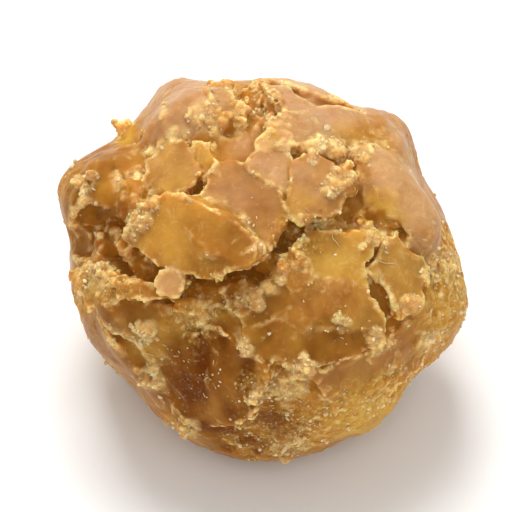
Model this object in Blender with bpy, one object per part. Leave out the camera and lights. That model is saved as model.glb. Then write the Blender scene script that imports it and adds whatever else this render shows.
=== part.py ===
"""A lump of jaggery, about 66 mm across: one broken piece of set cane sugar.

The lump rests on a small flat spot, and its broken face looks up and forwards.  It is built the
way it looks: a rounded core, boulders and hollows on it, crevices cut into it, and broken plates
that stand proud and overhang the crevices.

Everything is placed on the broken face: x runs across it, y up it and z out of it, in millimetres
from the middle of the lump.  An empty turns and lifts that frame into place.
"""

import math
import random

import bmesh
import bpy
import numpy as np
from mathutils import Matrix, Vector, noise

MM = 0.001

# --- Driving sizes, in millimetres and degrees -------------------------------------------------

FACE_LEAN = 40.0  # how far the broken face leans forwards from looking straight up
FACE_CENTRE = (-0.5, 0.74, 24.8)  # the middle of the lump above its resting spot

RADIUS = 30.0  # of the outline of the broken face
FRONT_DEPTH = 26.0  # from the middle out to the broken face
BACK_DEPTH = 27.0  # from the middle back to the far side
FULLNESS = 2.25  # 2 is an ellipsoid, more is squarer
CORE_CUTS = 14  # across each side of the cube that the core is blown up from

# Where the outline leaves its circle: clock angle from the right, millimetres out, spread in degrees.
OUTLINE = {
    "right flank": (-10, 3.4, 15),
    "right shoulder": (47, 2.4, 11),
    "top edge": (85, 0.7, 20),
    "top left boulder": (114, 2.6, 9),
    "left lobe": (155, 4.9, 12),
    "lower left flat": (224, -2.8, 17),
    "bottom right rise": (308, 1.3, 10),
}
OUTLINE_FADE = 0.45  # how far back the outline keeps its shape, as a share of the way back

SWELL = 0.25  # height of each of the slow waves on the core
SWELL_LENGTHS = (13.0, 16.0, 20.0, 25.0, 31.0)

# Boulders that bulge from the core: place (across, up), roll, half-sizes, height, fullness.
LOBES = {
    "top_left_boulder": ((-12.0, 23.0), 20, (9.2, 6.2, 7.0), 2.6, 2.0),
    "top_right_cap": ((7.0, 25.0), -12, (12.0, 6.5, 8.0), 2.2, 2.6),
    "right_shoulder": ((21.5, 18.0), 25, (6.2, 9.0, 7.0), 1.8, 2.0),
    "amber_knob": ((14.6, 21.5), 0, (3.0, 3.4, 3.6), 1.4, 2.0),
    "right_boulder": ((21.0, 10.5), -38, (10.5, 5.4, 6.5), 3.6, 2.4),
    "left_lobe": ((-25.5, 13.0), 20, (8.0, 9.0, 8.0), 2.4, 2.0),
    "middle_lobe": ((6.2, 11.0), -20, (7.0, 6.2, 6.0), 3.2, 2.0),
    "left_band": ((-20.0, -13.5), -50, (12.0, 3.6, 5.0), 1.6, 2.0),
    "shelf": ((-20.0, -6.0), -10, (8.5, 4.5, 6.0), 1.4, 2.0),
}

# Crevices and creases: stops along each one, as (across, up, half-width, depth of its middle).
CREVICES = {
    "left_hollow": ((-25, 5.5, 5.2, -1.6), (-19, 4.5, 5.2, -1.4)),
    "main": (
        (-32, 5.5, 2.0, -0.5), (-26.5, 4.5, 3.0, 0.2), (-21, 1.5, 3.6, 0.8), (-15.5, -2, 3.2, 1.2),
        (-9, -3.5, 2.6, 1.6), (-2.5, -2, 3.0, 1.4), (1.5, 1.5, 3.0, 1.0), (5, 6, 2.8, 0.8),
        (8, 9, 2.4, 0.4), (11, 10, 1.4, 0.0),
    ),
    "left_pocket": ((-21.5, 13.5, 1.4, 0.3), (-18.5, 11.5, 2.2, 1.0), (-18, 8.5, 2.0, 0.5)),
    "boulder_valley": ((12.5, 9.5, 1.8, -0.4), (17.5, 6.5, 1.8, -0.4), (21, 5.5, 1.2, -0.2)),
    "band_line": ((-24.5, -6.5, 0.7, -1.3), (-20, -11.5, 1.1, -1.0), (-16, -17, 0.9, -0.8), (-12.5, -20.5, 0.6, -0.6)),
    "top_valley": ((-4, 29, 1.6, -1.4), (-1.5, 26, 2.2, -1.0), (1.5, 24, 1.6, -1.0), (-4, 22, 1.2, -1.0)),
    "cap_crease": ((2.5, 27, 0.6, -1.9), (8, 24.5, 0.6, -1.9), (14.5, 24, 0.6, -1.8)),
    "shoulder_crease": ((14, 18.5, 0.8, -1.0), (14, 14, 1.2, -0.6), (14.5, 10, 1.6, 0.2)),
    "boulder_foot": ((-23.5, 21.5, 1.0, -1.4), (-19.5, 20, 1.0, -1.2), (-17, 21, 0.8, -1.0)),
}

# Broken plates: corners (across, up) as seen square on, height, thickness, lean (across, up), crown radius.
PLATES = {
    "small_plate_behind": (((-10.5, 20.5), (-7.5, 20), (-6.5, 17), (-8, 14), (-11, 14.5)), 1.7, 3.0, (6, 4), 40),
    "small_plate": (((-16, 21), (-11, 21), (-9.5, 16), (-12, 12.5), (-17, 11.5), (-18, 14)), 3.0, 4.0, (-8, 6), 30),
    "pink_flake": (((1, 23), (3.5, 25), (7.5, 24), (14, 20.5), (13, 19), (6, 20)), 1.6, 2.5, (0, 4), 40),
    "pale_flake": (((-0.5, 20), (1.5, 22), (4.5, 21), (4.5, 19.5), (1, 19)), 2.2, 2.0, (0, -6), 40),
    "crumb_ridge": (((5, 20), (9, 20.5), (13.5, 19), (13, 17), (8, 18.5)), 2.6, 3.0, (0, 0), 8),
    "upper_middle": (((-2, 18), (0.5, 19.5), (4, 19), (6.5, 15.5), (5, 11.5), (-2, 16.5)), 2.7, 4.0, (0, 10), 22),
    "right_of_centre": (
        ((4.5, 17), (7, 18.5), (11, 17.5), (13.5, 13.5), (13, 10.5), (6.5, 8.5), (5, 11)), 4.4, 4.5, (6, 12), 14,
    ),
    "centre_sheet": (
        ((-4.5, 17.5), (0, 16.5), (3, 13.5), (4.5, 9.5), (1.5, 4.5), (-2, 2.5), (-8, 4), (-11.5, 9), (-7, 17)),
        3.4, 5.0, (-2, 12), 28,
    ),
    "left_sheet": (
        ((-18.5, 10.5), (-12.5, 12), (-7, 10), (-2.5, 5), (-2.5, 2), (-8.5, -2), (-17, 1.5), (-22, 5)),
        4.4, 3.8, (-8, -2), 34,
    ),
    "nub": (((-15.5, 0), (-13, 0.5), (-11.5, -2), (-13, -4), (-16, -3.5)), 4.4, 4.5, (0, 8), 9),
    "shelf_edge_left": (((-30, -0.5), (-25.5, 1), (-21, -1.5), (-22.5, -4.5), (-27, -6.5)), 2.6, 4.0, (0, 14), 30),
    "shelf_edge_right": (((-23, -1.5), (-15.5, -2), (-12, -2.5), (-14, -4.5), (-22.5, -4.5)), 2.8, 4.0, (0, 14), 30),
    "big_plate_top": (
        ((6.5, 4.5), (8, 6), (15, 6.5), (19, 5), (16.5, 1), (17.5, -4), (20, -9.5), (6, -8), (3.5, 1)),
        2.4, 5.0, (0, -7), 40,
    ),
    "big_plate_bottom": (
        ((3.5, 0.5), (15, -3), (19.5, -9), (19, -12), (14, -13.5), (6, -15), (-1.5, -13.5), (-3.5, -7)),
        2.1, 5.0, (-1, -7), 34,
    ),
    "right_plate": (
        ((20, 5), (22, 6.5), (23, 4), (26, 2), (26, -4), (24.5, -6.5), (22, -7.5), (19, -2), (17, 0)),
        2.2, 4.0, (3, 2), 60,
    ),
    "lower_right_face": (
        ((9, -17), (14, -14), (19, -12), (24, -8), (28, -10.5), (27, -15), (20, -19.5), (12, -22.5)),
        0.5, 4.0, (-2, -6), 45,
    ),
    "front_face": (
        ((-15.5, -11.5), (-7, -9.5), (0, -15.5), (0, -19.5), (-2, -24), (-9, -25.5), (-14, -22), (-17.5, -15)),
        0.4, 4.0, (-2, -2), 36,
    ),
}

# A slit beside the big plate, cut after the plates stand.
SLIT = ((17, -0.5, 0.5, -1.4), (18, -4, 1.2, -1.4), (19.5, -9, 0.8, -0.8))

# The sides and the back are broken in the same way, at even steps around them: flat faces where
# pieces came away, plates that stand a little proud at one side, and dents.
FAR_FACES = 18
FAR_PLATES = 7
FAR_DENTS = 5
FAR_SEED = 11
FAR_FRONT = -0.2  # how far round the far side starts, out of the broken face
FAR_FOOT = 0.55  # how far down it goes: 1 is straight down

RAGGED = 0.45  # how far a broken rim wanders
RAGGED_PATTERN = 4.0  # picks one wandering out of many
RIM_STEP = 2.4  # between points along a rim
UNDERCUT = 0.2  # how far a plate's underside draws in for each millimetre of its thickness
CHIP = 60.0  # side of the blocks that cut the flat faces
GROUND = 100.0  # side of the block that cuts the resting spot

COLOUR = (0.50, 0.24, 0.07, 1.0)
ROUGHNESS = 0.45


# --- The core's surface ------------------------------------------------------------------------


def outline(angle):
    """The reach of the broken face's outline at a clock angle in radians."""
    reach = np.full(np.shape(angle), RADIUS)
    for where, out, spread in OUTLINE.values():
        off = (np.degrees(angle) - where + 180) % 360 - 180
        reach = reach + out * np.exp(-((off / spread) ** 2))
    return reach


def spiral(index, count):
    """Direction number index of count, spread evenly over a ball along a golden spiral."""
    height = 1 - (2 * index + 1) / count
    turn = index * math.pi * (3 - math.sqrt(5))
    ring = math.sqrt(1 - height * height)
    return np.array([ring * math.cos(turn), ring * math.sin(turn), height])


def swell(points):
    """Slow waves on the core: a sum of sines, each running its own way."""
    total = np.zeros(len(points))
    for index, length in enumerate(SWELL_LENGTHS):
        way = spiral(index, len(SWELL_LENGTHS))
        total += SWELL * np.sin(points @ way * math.tau / length + 1.7 * index)
    return total


def reach(ways):
    """How far the core reaches from its middle along each unit direction. Behind the face, the
    outline's bumps and flats fade out."""
    depth = np.where(ways[:, 2] > 0, FRONT_DEPTH, BACK_DEPTH)
    kept = np.exp(-((np.minimum(ways[:, 2], 0) / OUTLINE_FADE) ** 2))
    edge = RADIUS + kept * (outline(np.arctan2(ways[:, 1], ways[:, 0])) - RADIUS)
    across = np.hypot(ways[:, 0], ways[:, 1]) / edge
    out = np.abs(ways[:, 2]) / depth
    plain = (across**FULLNESS + out**FULLNESS) ** (-1 / FULLNESS)
    return plain + swell(ways * plain[:, None])


def level(points):
    """1 on the core's surface, less inside it and more outside."""
    length = np.linalg.norm(points, axis=1)
    return length / reach(points / length[:, None])


def face_way(across, up):
    """The direction of the place on the broken face that lies this far across and up it."""
    share = min(math.hypot(across, up) / float(outline(math.atan2(up, across))), 0.985)
    out = FRONT_DEPTH * (1 - share**FULLNESS) ** (1 / FULLNESS)
    way = np.array([across, up, out])
    return way / np.linalg.norm(way)


def seat(way, roll=0.0, lean=(0.0, 0.0)):
    """A place on the core and the axes there, the third pointing out, as a matrix."""
    place = way * reach(way[None])[0]
    slope = [level((place + step)[None])[0] - level((place - step)[None])[0] for step in np.eye(3) * 0.2]
    out = Vector(slope).normalized()
    right = Vector((1, 0, 0)) if abs(out.x) < 0.95 else Vector((0, 1, 0))
    right = (right - right.dot(out) * out).normalized()
    up = out.cross(right)
    out = (out + math.tan(math.radians(lean[0])) * right + math.tan(math.radians(lean[1])) * up).normalized()
    right = (right - right.dot(out) * out).normalized()
    axes = Matrix((right, out.cross(right), out)).transposed().to_4x4()
    turned = axes @ Matrix.Rotation(math.radians(roll), 4, "Z")
    return Matrix.Translation(Vector(place)) @ turned


# --- Making and joining the shapes -------------------------------------------------------------


def object_from(name, bm, parent):
    """Turns a bmesh in millimetres into an object of the scene, in metres."""
    bmesh.ops.scale(bm, vec=(MM, MM, MM), verts=bm.verts)
    bmesh.ops.recalc_face_normals(bm, faces=bm.faces)
    mesh = bpy.data.meshes.new(name)
    bm.to_mesh(mesh)
    bm.free()
    made = bpy.data.objects.new(name, mesh)
    made.parent = parent
    return made


def group_of(name):
    """A collection for shapes that only shape the lump."""
    group = bpy.data.collections.new(name)
    bpy.context.scene.collection.children.link(group)
    return group


def add_helper(group, made):
    made.hide_render = True
    made.display_type = "WIRE"
    group.objects.link(made)


def shape_with(lump, group, operation):
    """Joins a group's shapes to the lump, or cuts them from it."""
    step = lump.modifiers.new(group.name, "BOOLEAN")
    step.operand_type = "COLLECTION"
    step.collection = group
    step.operation = operation
    step.solver = "EXACT"


def largest_shell(lump):
    """The shaped lump's mesh without the small pockets that overlapping plates shut in."""
    graph = bpy.context.evaluated_depsgraph_get()
    bm = bmesh.new()
    bm.from_mesh(lump.evaluated_get(graph).to_mesh())
    left, shells = set(bm.verts), []
    while left:
        shell, edge_of_it = set(), {left.pop()}
        while edge_of_it:
            shell |= edge_of_it
            edge_of_it = {edge.other_vert(vertex) for vertex in edge_of_it for edge in vertex.link_edges} - shell
        left -= shell
        shells.append(shell)
    shells.sort(key=len)
    bmesh.ops.delete(bm, geom=[vertex for shell in shells[:-1] for vertex in shell], context="VERTS")
    mesh = bpy.data.meshes.new("jaggery_lump_shaped")
    bm.to_mesh(mesh)
    bm.free()
    return mesh


def even_out(part):
    """Moves a point on a cube's side so that the cells come out alike once it is a ball."""
    return math.tan(part * math.pi / 4)


def make_core(parent):
    """A cube blown up to the core's surface."""
    bm = bmesh.new()
    bmesh.ops.create_cube(bm, size=2.0)
    bmesh.ops.subdivide_edges(bm, edges=bm.edges, cuts=CORE_CUTS, use_grid_fill=True)
    ways = np.array([Vector(map(even_out, vertex.co)).normalized() for vertex in bm.verts])
    for vertex, way, far in zip(bm.verts, ways, reach(ways)):
        vertex.co = Vector(way * far)
    return object_from("jaggery_lump", bm, parent)


def make_lobe(name, place, half, fullness, parent):
    """A boulder: a ball squared off by its fullness and stretched to its half-sizes."""
    bm = bmesh.new()
    bmesh.ops.create_uvsphere(bm, u_segments=14, v_segments=9, radius=1.0)
    for vertex in bm.verts:
        size = sum(abs(part) ** fullness for part in vertex.co) ** (1 / fullness)
        vertex.co = vertex.co / size
    stretch = Matrix.Diagonal((*half, 1.0))
    bmesh.ops.transform(bm, matrix=place @ stretch, verts=bm.verts)
    return object_from(name, bm, parent)


def ragged_rim(corners):
    """Points along a broken rim through these corners, wandering a little in and out."""
    rim = []
    for start, end in zip(corners, corners[1:] + corners[:1]):
        steps = max(1, round((end - start).length / RIM_STEP))
        rim += [start.lerp(end, step / steps) for step in range(steps)]
    return [point * (1 + RAGGED / point.length * noise.noise(point * 0.8 + Vector((0, 0, RAGGED_PATTERN)))) for point in rim]


def make_plate(name, place, corners, thick, crown, parent):
    """A slab with a ragged rim, a gently crowned top and an undercut underside."""
    rim = ragged_rim([Vector((x, y, 0)) for x, y in corners])

    def ring(share, drop=0.0, draw_in=0.0):
        points = [point * share * (1 - draw_in / point.length) for point in rim]
        return [bm.verts.new((*point.xy, -point.length_squared / (2 * crown) - drop)) for point in points]

    bm = bmesh.new()
    top = bm.verts.new((0, 0, 0))
    bottom = bm.verts.new((0, 0, -thick))
    rings = [ring(0.55), ring(1.0), ring(1.0, thick, thick * UNDERCUT)]
    for index in range(len(rim)):
        after = (index + 1) % len(rim)
        bm.faces.new((top, rings[0][index], rings[0][after]))
        for upper, lower in zip(rings, rings[1:]):
            bm.faces.new((upper[index], lower[index], lower[after], upper[after]))
        bm.faces.new((bottom, rings[-1][after], rings[-1][index]))
    bmesh.ops.transform(bm, matrix=place, verts=bm.verts)
    return object_from(name, bm, parent)


def make_crevice(name, stops, parent):
    """A smooth tube through the stops, as thick at each as the crevice is wide there."""
    curve = bpy.data.curves.new(name, "CURVE")
    curve.dimensions = "3D"
    curve.bevel_depth = MM
    curve.bevel_resolution = 2
    curve.resolution_u = 2
    curve.use_fill_caps = True
    route = curve.splines.new("BEZIER")
    route.bezier_points.add(len(stops) - 1)
    for stop, (across, up, half_width, depth) in zip(route.bezier_points, stops):
        stop.co = (seat(face_way(across, up)) @ Vector((0, 0, -depth))) * MM
        stop.handle_left_type = stop.handle_right_type = "AUTO"
        stop.radius = half_width
    guide = bpy.data.objects.new(name + "_route", curve)
    tube = bpy.data.meshes.new_from_object(guide)
    bpy.data.objects.remove(guide)
    bm = bmesh.new()
    bm.from_mesh(tube)
    bmesh.ops.remove_doubles(bm, verts=bm.verts, dist=0.01 * MM)
    bmesh.ops.scale(bm, vec=(1 / MM, 1 / MM, 1 / MM), verts=bm.verts)
    return object_from(name, bm, parent)


# --- The lump's pieces -------------------------------------------------------------------------


def add_lobes(group, parent):
    for name, (spot, roll, half, height, fullness) in LOBES.items():
        place = seat(face_way(*spot), roll) @ Matrix.Translation((0, 0, height - half[2]))
        add_helper(group, make_lobe(name, place, half, fullness, parent))


def add_plates(group, parent):
    """Seats each plate over the middle of its corners and carries the corners onto its plane."""
    for name, (corners, height, thick, lean, crown) in PLATES.items():
        seen = np.array(corners)
        middle = (seen.min(axis=0) + seen.max(axis=0)) / 2
        place = seat(face_way(*middle), 0, lean) @ Matrix.Translation((0, 0, height))
        out = place.col[2].xyz
        flat = []
        for across, up in corners:
            aside = Vector((across, up, 0)) - Vector((*place.translation.xy, 0))
            aside.z = -aside.dot(out) / out.z
            flat.append((aside.dot(place.col[0].xyz), aside.dot(place.col[1].xyz)))
        add_helper(group, make_plate(name, place, flat, thick, crown, parent))


def far_ways(count, chance):
    """Even directions over the sides and the back, each nudged a little."""
    down = -Vector((0, 0, 1)) @ Matrix.Rotation(math.radians(FACE_LEAN), 3, "X")
    found = []
    for index in range(3 * count):
        way = spiral(index, 3 * count) + np.array([chance.uniform(-0.12, 0.12) for _ in range(3)])
        way /= np.linalg.norm(way)
        if way[2] < FAR_FRONT and way @ np.array(down) < FAR_FOOT:
            found.append(way)
    return found[:count]


def far_corners(size, chance):
    """The corners of a broken plate of about this half-width."""
    sides = chance.randint(5, 7)
    corners = []
    for side in range(sides):
        angle = math.tau * (side + chance.uniform(-0.25, 0.25)) / sides
        span = size * chance.uniform(0.75, 1.15)
        corners.append((span * math.cos(angle), span * math.sin(angle)))
    return corners


def add_far_side(plates, cuts, parent):
    chance = random.Random(FAR_SEED)
    for index, way in enumerate(far_ways(FAR_FACES, chance)):
        lean = (chance.uniform(-8, 8), chance.uniform(-8, 8))
        depth = chance.uniform(0.8, 1.9)
        place = seat(way, 0, lean) @ Matrix.Translation((0, 0, CHIP / 2 - depth))
        bm = bmesh.new()
        bmesh.ops.create_cube(bm, size=CHIP, matrix=place)
        add_helper(cuts, object_from(f"far_face_{index}", bm, parent))
    for index, way in enumerate(far_ways(FAR_PLATES, chance)):
        lean = (chance.uniform(-12, 12), chance.uniform(-12, 12))
        place = seat(way, chance.uniform(0, 360), lean) @ Matrix.Translation((0, 0, chance.uniform(0.0, 0.6)))
        corners = far_corners(chance.uniform(5.0, 8.0), chance)
        add_helper(plates, make_plate(f"far_plate_{index}", place, corners, 4.0, 32.0, parent))
    for index, way in enumerate(far_ways(FAR_DENTS, chance)):
        half = (chance.uniform(4, 8), chance.uniform(2.5, 4.5), chance.uniform(2.0, 3.0))
        place = seat(way, chance.uniform(0, 360)) @ Matrix.Translation((0, 0, chance.uniform(0.0, 0.8)))
        add_helper(cuts, make_lobe(f"far_dent_{index}", place, half, 2.0, parent))


def add_ground(group):
    """A block whose top is the surface that the lump rests on."""
    bm = bmesh.new()
    bmesh.ops.create_cube(bm, size=GROUND)
    bmesh.ops.translate(bm, vec=(0, 0, -GROUND / 2), verts=bm.verts)
    add_helper(group, object_from("ground", bm, None))


def jaggery_material():
    material = bpy.data.materials.new("jaggery")
    material.use_nodes = True
    shader = material.node_tree.nodes["Principled BSDF"]
    shader.inputs["Base Color"].default_value = COLOUR
    shader.inputs["Roughness"].default_value = ROUGHNESS
    shader.inputs["Metallic"].default_value = 0.0
    return material


def main():
    for old in list(bpy.data.objects):
        bpy.data.objects.remove(old)
    face = bpy.data.objects.new("broken_face", None)
    face.rotation_euler.x = math.radians(FACE_LEAN)
    face.location = Vector(FACE_CENTRE) * MM
    bpy.context.scene.collection.objects.link(face)

    lump = make_core(face)
    bpy.context.scene.collection.objects.link(lump)
    lump.data.materials.append(jaggery_material())

    lobes, crevices, plates = group_of("lobes"), group_of("crevices"), group_of("plates")
    last_cuts = group_of("last_cuts")
    add_lobes(lobes, face)
    for name, stops in CREVICES.items():
        add_helper(crevices, make_crevice(name, stops, face))
    add_plates(plates, face)
    add_far_side(plates, crevices, face)
    add_helper(last_cuts, make_crevice("slit", SLIT, face))
    add_ground(last_cuts)

    shape_with(lump, lobes, "UNION")
    shape_with(lump, crevices, "DIFFERENCE")
    shape_with(lump, plates, "UNION")
    shape_with(lump, last_cuts, "DIFFERENCE")
    lump.data = largest_shell(lump)
    lump.modifiers.clear()
    lump.data.shade_smooth()


main()
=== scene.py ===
# %% [markdown]
# # A lump of jaggery
#
# Jaggery is cane juice boiled down until it sets.  A lump broken from the block shows three kinds
# of sugar: smooth waxy plates that let a little light through, dark glowing crevices between
# them, and pale crumbly patches where the sugar has grained.  This lesson builds one lump over
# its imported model: first the skin, then the loose crumbs and shreds, then the finishes.

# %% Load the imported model
import math
import random
from collections import namedtuple

import bpy
import numpy as np
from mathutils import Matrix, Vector


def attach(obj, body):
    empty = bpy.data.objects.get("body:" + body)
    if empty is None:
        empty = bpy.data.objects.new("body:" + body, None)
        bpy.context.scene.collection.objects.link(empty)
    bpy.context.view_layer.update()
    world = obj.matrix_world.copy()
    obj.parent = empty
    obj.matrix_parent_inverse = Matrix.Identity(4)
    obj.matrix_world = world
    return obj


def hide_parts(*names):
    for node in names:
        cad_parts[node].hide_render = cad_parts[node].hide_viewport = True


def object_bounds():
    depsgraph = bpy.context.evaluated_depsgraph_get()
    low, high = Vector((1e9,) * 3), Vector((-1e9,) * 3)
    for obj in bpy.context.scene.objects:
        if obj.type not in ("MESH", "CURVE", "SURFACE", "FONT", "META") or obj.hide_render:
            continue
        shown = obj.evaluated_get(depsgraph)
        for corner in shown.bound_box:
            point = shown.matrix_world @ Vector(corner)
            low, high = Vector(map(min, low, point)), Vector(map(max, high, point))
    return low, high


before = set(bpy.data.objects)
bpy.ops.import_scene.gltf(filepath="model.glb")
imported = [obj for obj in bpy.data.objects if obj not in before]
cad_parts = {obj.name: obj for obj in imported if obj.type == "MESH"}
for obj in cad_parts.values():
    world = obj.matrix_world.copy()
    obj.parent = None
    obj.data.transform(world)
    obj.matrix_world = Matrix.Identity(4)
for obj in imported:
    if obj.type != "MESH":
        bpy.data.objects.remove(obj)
cad_low, cad_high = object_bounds()
cad_low, cad_high = np.array(cad_low), np.array(cad_high)
MM = 0.001
F = np.float32
print("packed lump, mm:", np.round((cad_high - cad_low) / MM, 1))

# %% [markdown]
# ## Where things lie
#
# The lump's broken face looks up and forwards.  Every boulder and plate is easiest to place on
# that face: so far across it, so far up it, in millimetres from the lump's middle.  The packed
# model was made in the same frame, so the same places fit both.

# %% The frame of the broken face
FACE_LEAN = math.radians(40.0)
FACE_CENTRE = np.array([-0.5, 0.74, 24.8])
FACE_AXES = np.array(
    [
        [1, 0, 0],
        [0, math.cos(FACE_LEAN), math.sin(FACE_LEAN)],
        [0, -math.sin(FACE_LEAN), math.cos(FACE_LEAN)],
    ]
)


def to_world(points):
    """Face millimetres to scene metres: turn by the face's axes, then lift to its centre."""
    return (points @ FACE_AXES + FACE_CENTRE) * MM


def height_above_ground(points):
    """The world height of face points, in millimetres."""
    return points @ FACE_AXES[:, 2].astype(F) + F(FACE_CENTRE[2])


print("the broken face looks along", np.round(FACE_AXES[2], 2))

# %% [markdown]
# ## Unevenness
#
# Broken sugar is uneven at every size.  One helper serves for all of it: random numbers on a
# lattice, blended smoothly in between.  Each pattern turns the lattice its own way, so that no
# two patterns line up.

# %% Smooth random noise
LATTICE = 32
LATTICE_VALUES = (np.random.default_rng(20).random((LATTICE,) * 3) * 2 - 1).astype(F)
turned_lattices = {}


def noise(points, size, pattern):
    """Value noise from -1 to 1: the eight lattice values around a point, each weighted by a
    smooth fade of the distance to it.  Cells are size millimetres wide."""
    if pattern not in turned_lattices:
        chance = np.random.default_rng(1000 + pattern)
        turn = np.linalg.qr(chance.normal(size=(3, 3)))[0]
        turned_lattices[pattern] = turn.astype(F), (chance.random(3) * LATTICE).astype(F)
    turn, shift = turned_lattices[pattern]
    place = points.astype(F) @ (turn / F(size)) + shift
    cell = np.floor(place).astype(np.int32)
    fade = place - cell
    fade = fade * fade * fade * (fade * (fade * 6 - 15) + 10)
    low = (cell % LATTICE).T
    high = ((cell + 1) % LATTICE).T
    total = np.zeros(len(points), F)
    for corner in range(8):
        ends = [high if corner >> axis & 1 else low for axis in range(3)]
        share = np.ones(len(points), F)
        for axis in range(3):
            share *= fade[:, axis] if corner >> axis & 1 else 1 - fade[:, axis]
        total += share * LATTICE_VALUES[ends[0][0], ends[1][1], ends[2][2]]
    return total


def smooth_min(one, other, width):
    """The lesser of two distances, rounded over width where they meet: it joins two shapes."""
    near = np.maximum(width - np.abs(one - other), 0) / width
    return np.minimum(one, other) - near * near * width * 0.25


def smooth_max(one, other, width):
    """The greater of two distances, rounded over width: it cuts one shape by another."""
    return -smooth_min(-one, -other, width)


probe = np.random.default_rng(1).random((2000, 3)) * 50
print("noise spread:", float(noise(probe, 3.0, 0).std().round(2)))

# %% [markdown]
# ## The core
#
# Seen square on, the broken face is nearly a circle with a lobe at the left, a flank at the right
# and flats at the lower left.  From that outline the core swells forwards and back like a full
# ellipsoid, and slow waves keep it from being even.

# %% The core's reach in every direction
RADIUS = 30.0
FRONT_DEPTH = 26.0
BACK_DEPTH = 27.0
FULLNESS = 2.25

# Where the outline leaves its circle: clock angle from the right, millimetres out, spread in degrees.
OUTLINE = {
    "right flank": (-10, 3.4, 15),
    "right shoulder": (47, 2.4, 11),
    "top edge": (85, 0.7, 20),
    "top left boulder": (114, 2.6, 9),
    "left lobe": (155, 4.9, 12),
    "lower left flat": (224, -2.8, 17),
    "bottom right rise": (308, 1.3, 10),
}
OUTLINE_FADE = 0.45
SWELL = 0.25
SWELL_LENGTHS = (13.0, 16.0, 20.0, 25.0, 31.0)


def outline(angle):
    """The circle's radius plus a bell-shaped bump or flat around each named clock angle."""
    reach = np.full(np.shape(angle), RADIUS)
    for where, out, spread in OUTLINE.values():
        off = (np.degrees(angle) - where + 180) % 360 - 180
        reach = reach + out * np.exp(-((off / spread) ** 2))
    return reach


def spiral(index, count):
    """Direction number index of count, spread evenly over a ball along a golden spiral."""
    height = 1 - (2 * index + 1) / count
    turn = index * math.pi * (3 - math.sqrt(5))
    ring = math.sqrt(1 - height * height)
    return np.array([ring * math.cos(turn), ring * math.sin(turn), height])


def swell(points):
    """A sum of sines, each running along its own direction with its own length."""
    total = np.zeros(len(points))
    for index, length in enumerate(SWELL_LENGTHS):
        way = spiral(index, len(SWELL_LENGTHS))
        total += SWELL * np.sin(points @ way * math.tau / length + 1.7 * index)
    return total


def core_reach(ways):
    """Across share and outward share, each to the power FULLNESS, add up to 1 at the surface.
    Behind the face, the outline's bumps and flats fade out."""
    depth = np.where(ways[:, 2] > 0, FRONT_DEPTH, BACK_DEPTH)
    kept = np.exp(-((np.minimum(ways[:, 2], 0) / OUTLINE_FADE) ** 2))
    edge = RADIUS + kept * (outline(np.arctan2(ways[:, 1], ways[:, 0])) - RADIUS)
    across = np.hypot(ways[:, 0], ways[:, 1]) / edge
    out = np.abs(ways[:, 2]) / depth
    plain = (across**FULLNESS + out**FULLNESS) ** (-1 / FULLNESS)
    return plain + swell(ways * plain[:, None])


def core(points):
    """Distance from the core: the length of the point less the core's reach its way."""
    length = np.linalg.norm(points, axis=1) + 1e-6
    return (length - core_reach(points / length[:, None])).astype(F)


print("core reach across, up, out:", np.round(core_reach(np.eye(3)), 1))

# %% [markdown]
# ## Seats on the core
#
# Each feature sits on the core like a stone in putty.  A seat is a place there with three axes,
# the third pointing straight out, leaned or rolled if the feature is.

# %% Seats
Seat = namedtuple("Seat", "place axes")


def face_way(across, up):
    """The direction of a spot on the broken face, from the core's formula solved for its depth."""
    share = min(math.hypot(across, up) / float(outline(math.atan2(up, across))), 0.985)
    way = np.array([across, up, FRONT_DEPTH * (1 - share**FULLNESS) ** (1 / FULLNESS)])
    return way / np.linalg.norm(way)


def unit(vector):
    return vector / np.linalg.norm(vector)


def seat(way, roll=0.0, lean=(0.0, 0.0)):
    """The outward axis is the slope of length over reach; lean tips it, roll turns the others."""
    place = way * core_reach(way[None])[0]
    steps = np.eye(3) * 0.2
    probes = np.concatenate([place + steps, place - steps])
    length = np.linalg.norm(probes, axis=1)
    level = length / core_reach(probes / length[:, None])
    out = unit(level[:3] - level[3:])
    right = np.array([1.0, 0, 0]) if abs(out[0]) < 0.95 else np.array([0, 1.0, 0])
    right = unit(right - right @ out * out)
    up = np.cross(out, right)
    out = unit(out + math.tan(math.radians(lean[0])) * right + math.tan(math.radians(lean[1])) * up)
    right = unit(right - right @ out * out)
    up = np.cross(out, right)
    c, s = math.cos(math.radians(roll)), math.sin(math.radians(roll))
    return Seat(place, np.array([c * right + s * up, c * up - s * right, out]))


print("seat at the middle of the face:", np.round(seat(face_way(0, 0)).place, 1))

# %% [markdown]
# ## Distance shapes
#
# A grid bent into shape can't fold under itself, but the plates overhang.  So the skin is drawn
# where a distance is zero: each feature is a function that gives the distance to its surface,
# below zero inside.  Joining takes the lesser distance and cutting the greater, and both can be
# rounded.  Each shape also knows its reach, so that it is only worked out nearby.

# %% Boulders, crevices, plates and flat breaks
Shape = namedtuple("Shape", "middle span distance round_over")
UNDERCUT = 0.2
RAGGED = 0.5
CRUMBLED = 0.3


def boulder_shape(place, half, fullness=2.0, round_over=2.4, ragged=0.0):
    """A stretched ball: how far past 1 the powered sum of the shares is, made a length.  A ragged
    one is pushed in and out by two noises."""
    half = np.array(half, F)
    axes = place.axes.astype(F)

    def distance(points):
        local = (points - place.place.astype(F)) @ axes.T
        size = (np.abs(local / half) ** fullness).sum(axis=1) ** (1 / fullness)
        slope = np.linalg.norm(local / (half * half), axis=1) + 1e-6
        plain = (size - 1) * np.linalg.norm(local / half, axis=1) / slope
        if not ragged:
            return plain
        return plain + F(ragged) * (noise(points, 1.9, 46) + F(0.6) * noise(points, 0.9, 47))

    return Shape(place.place, max(half) + (2 if ragged else 3), distance, round_over)


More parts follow.
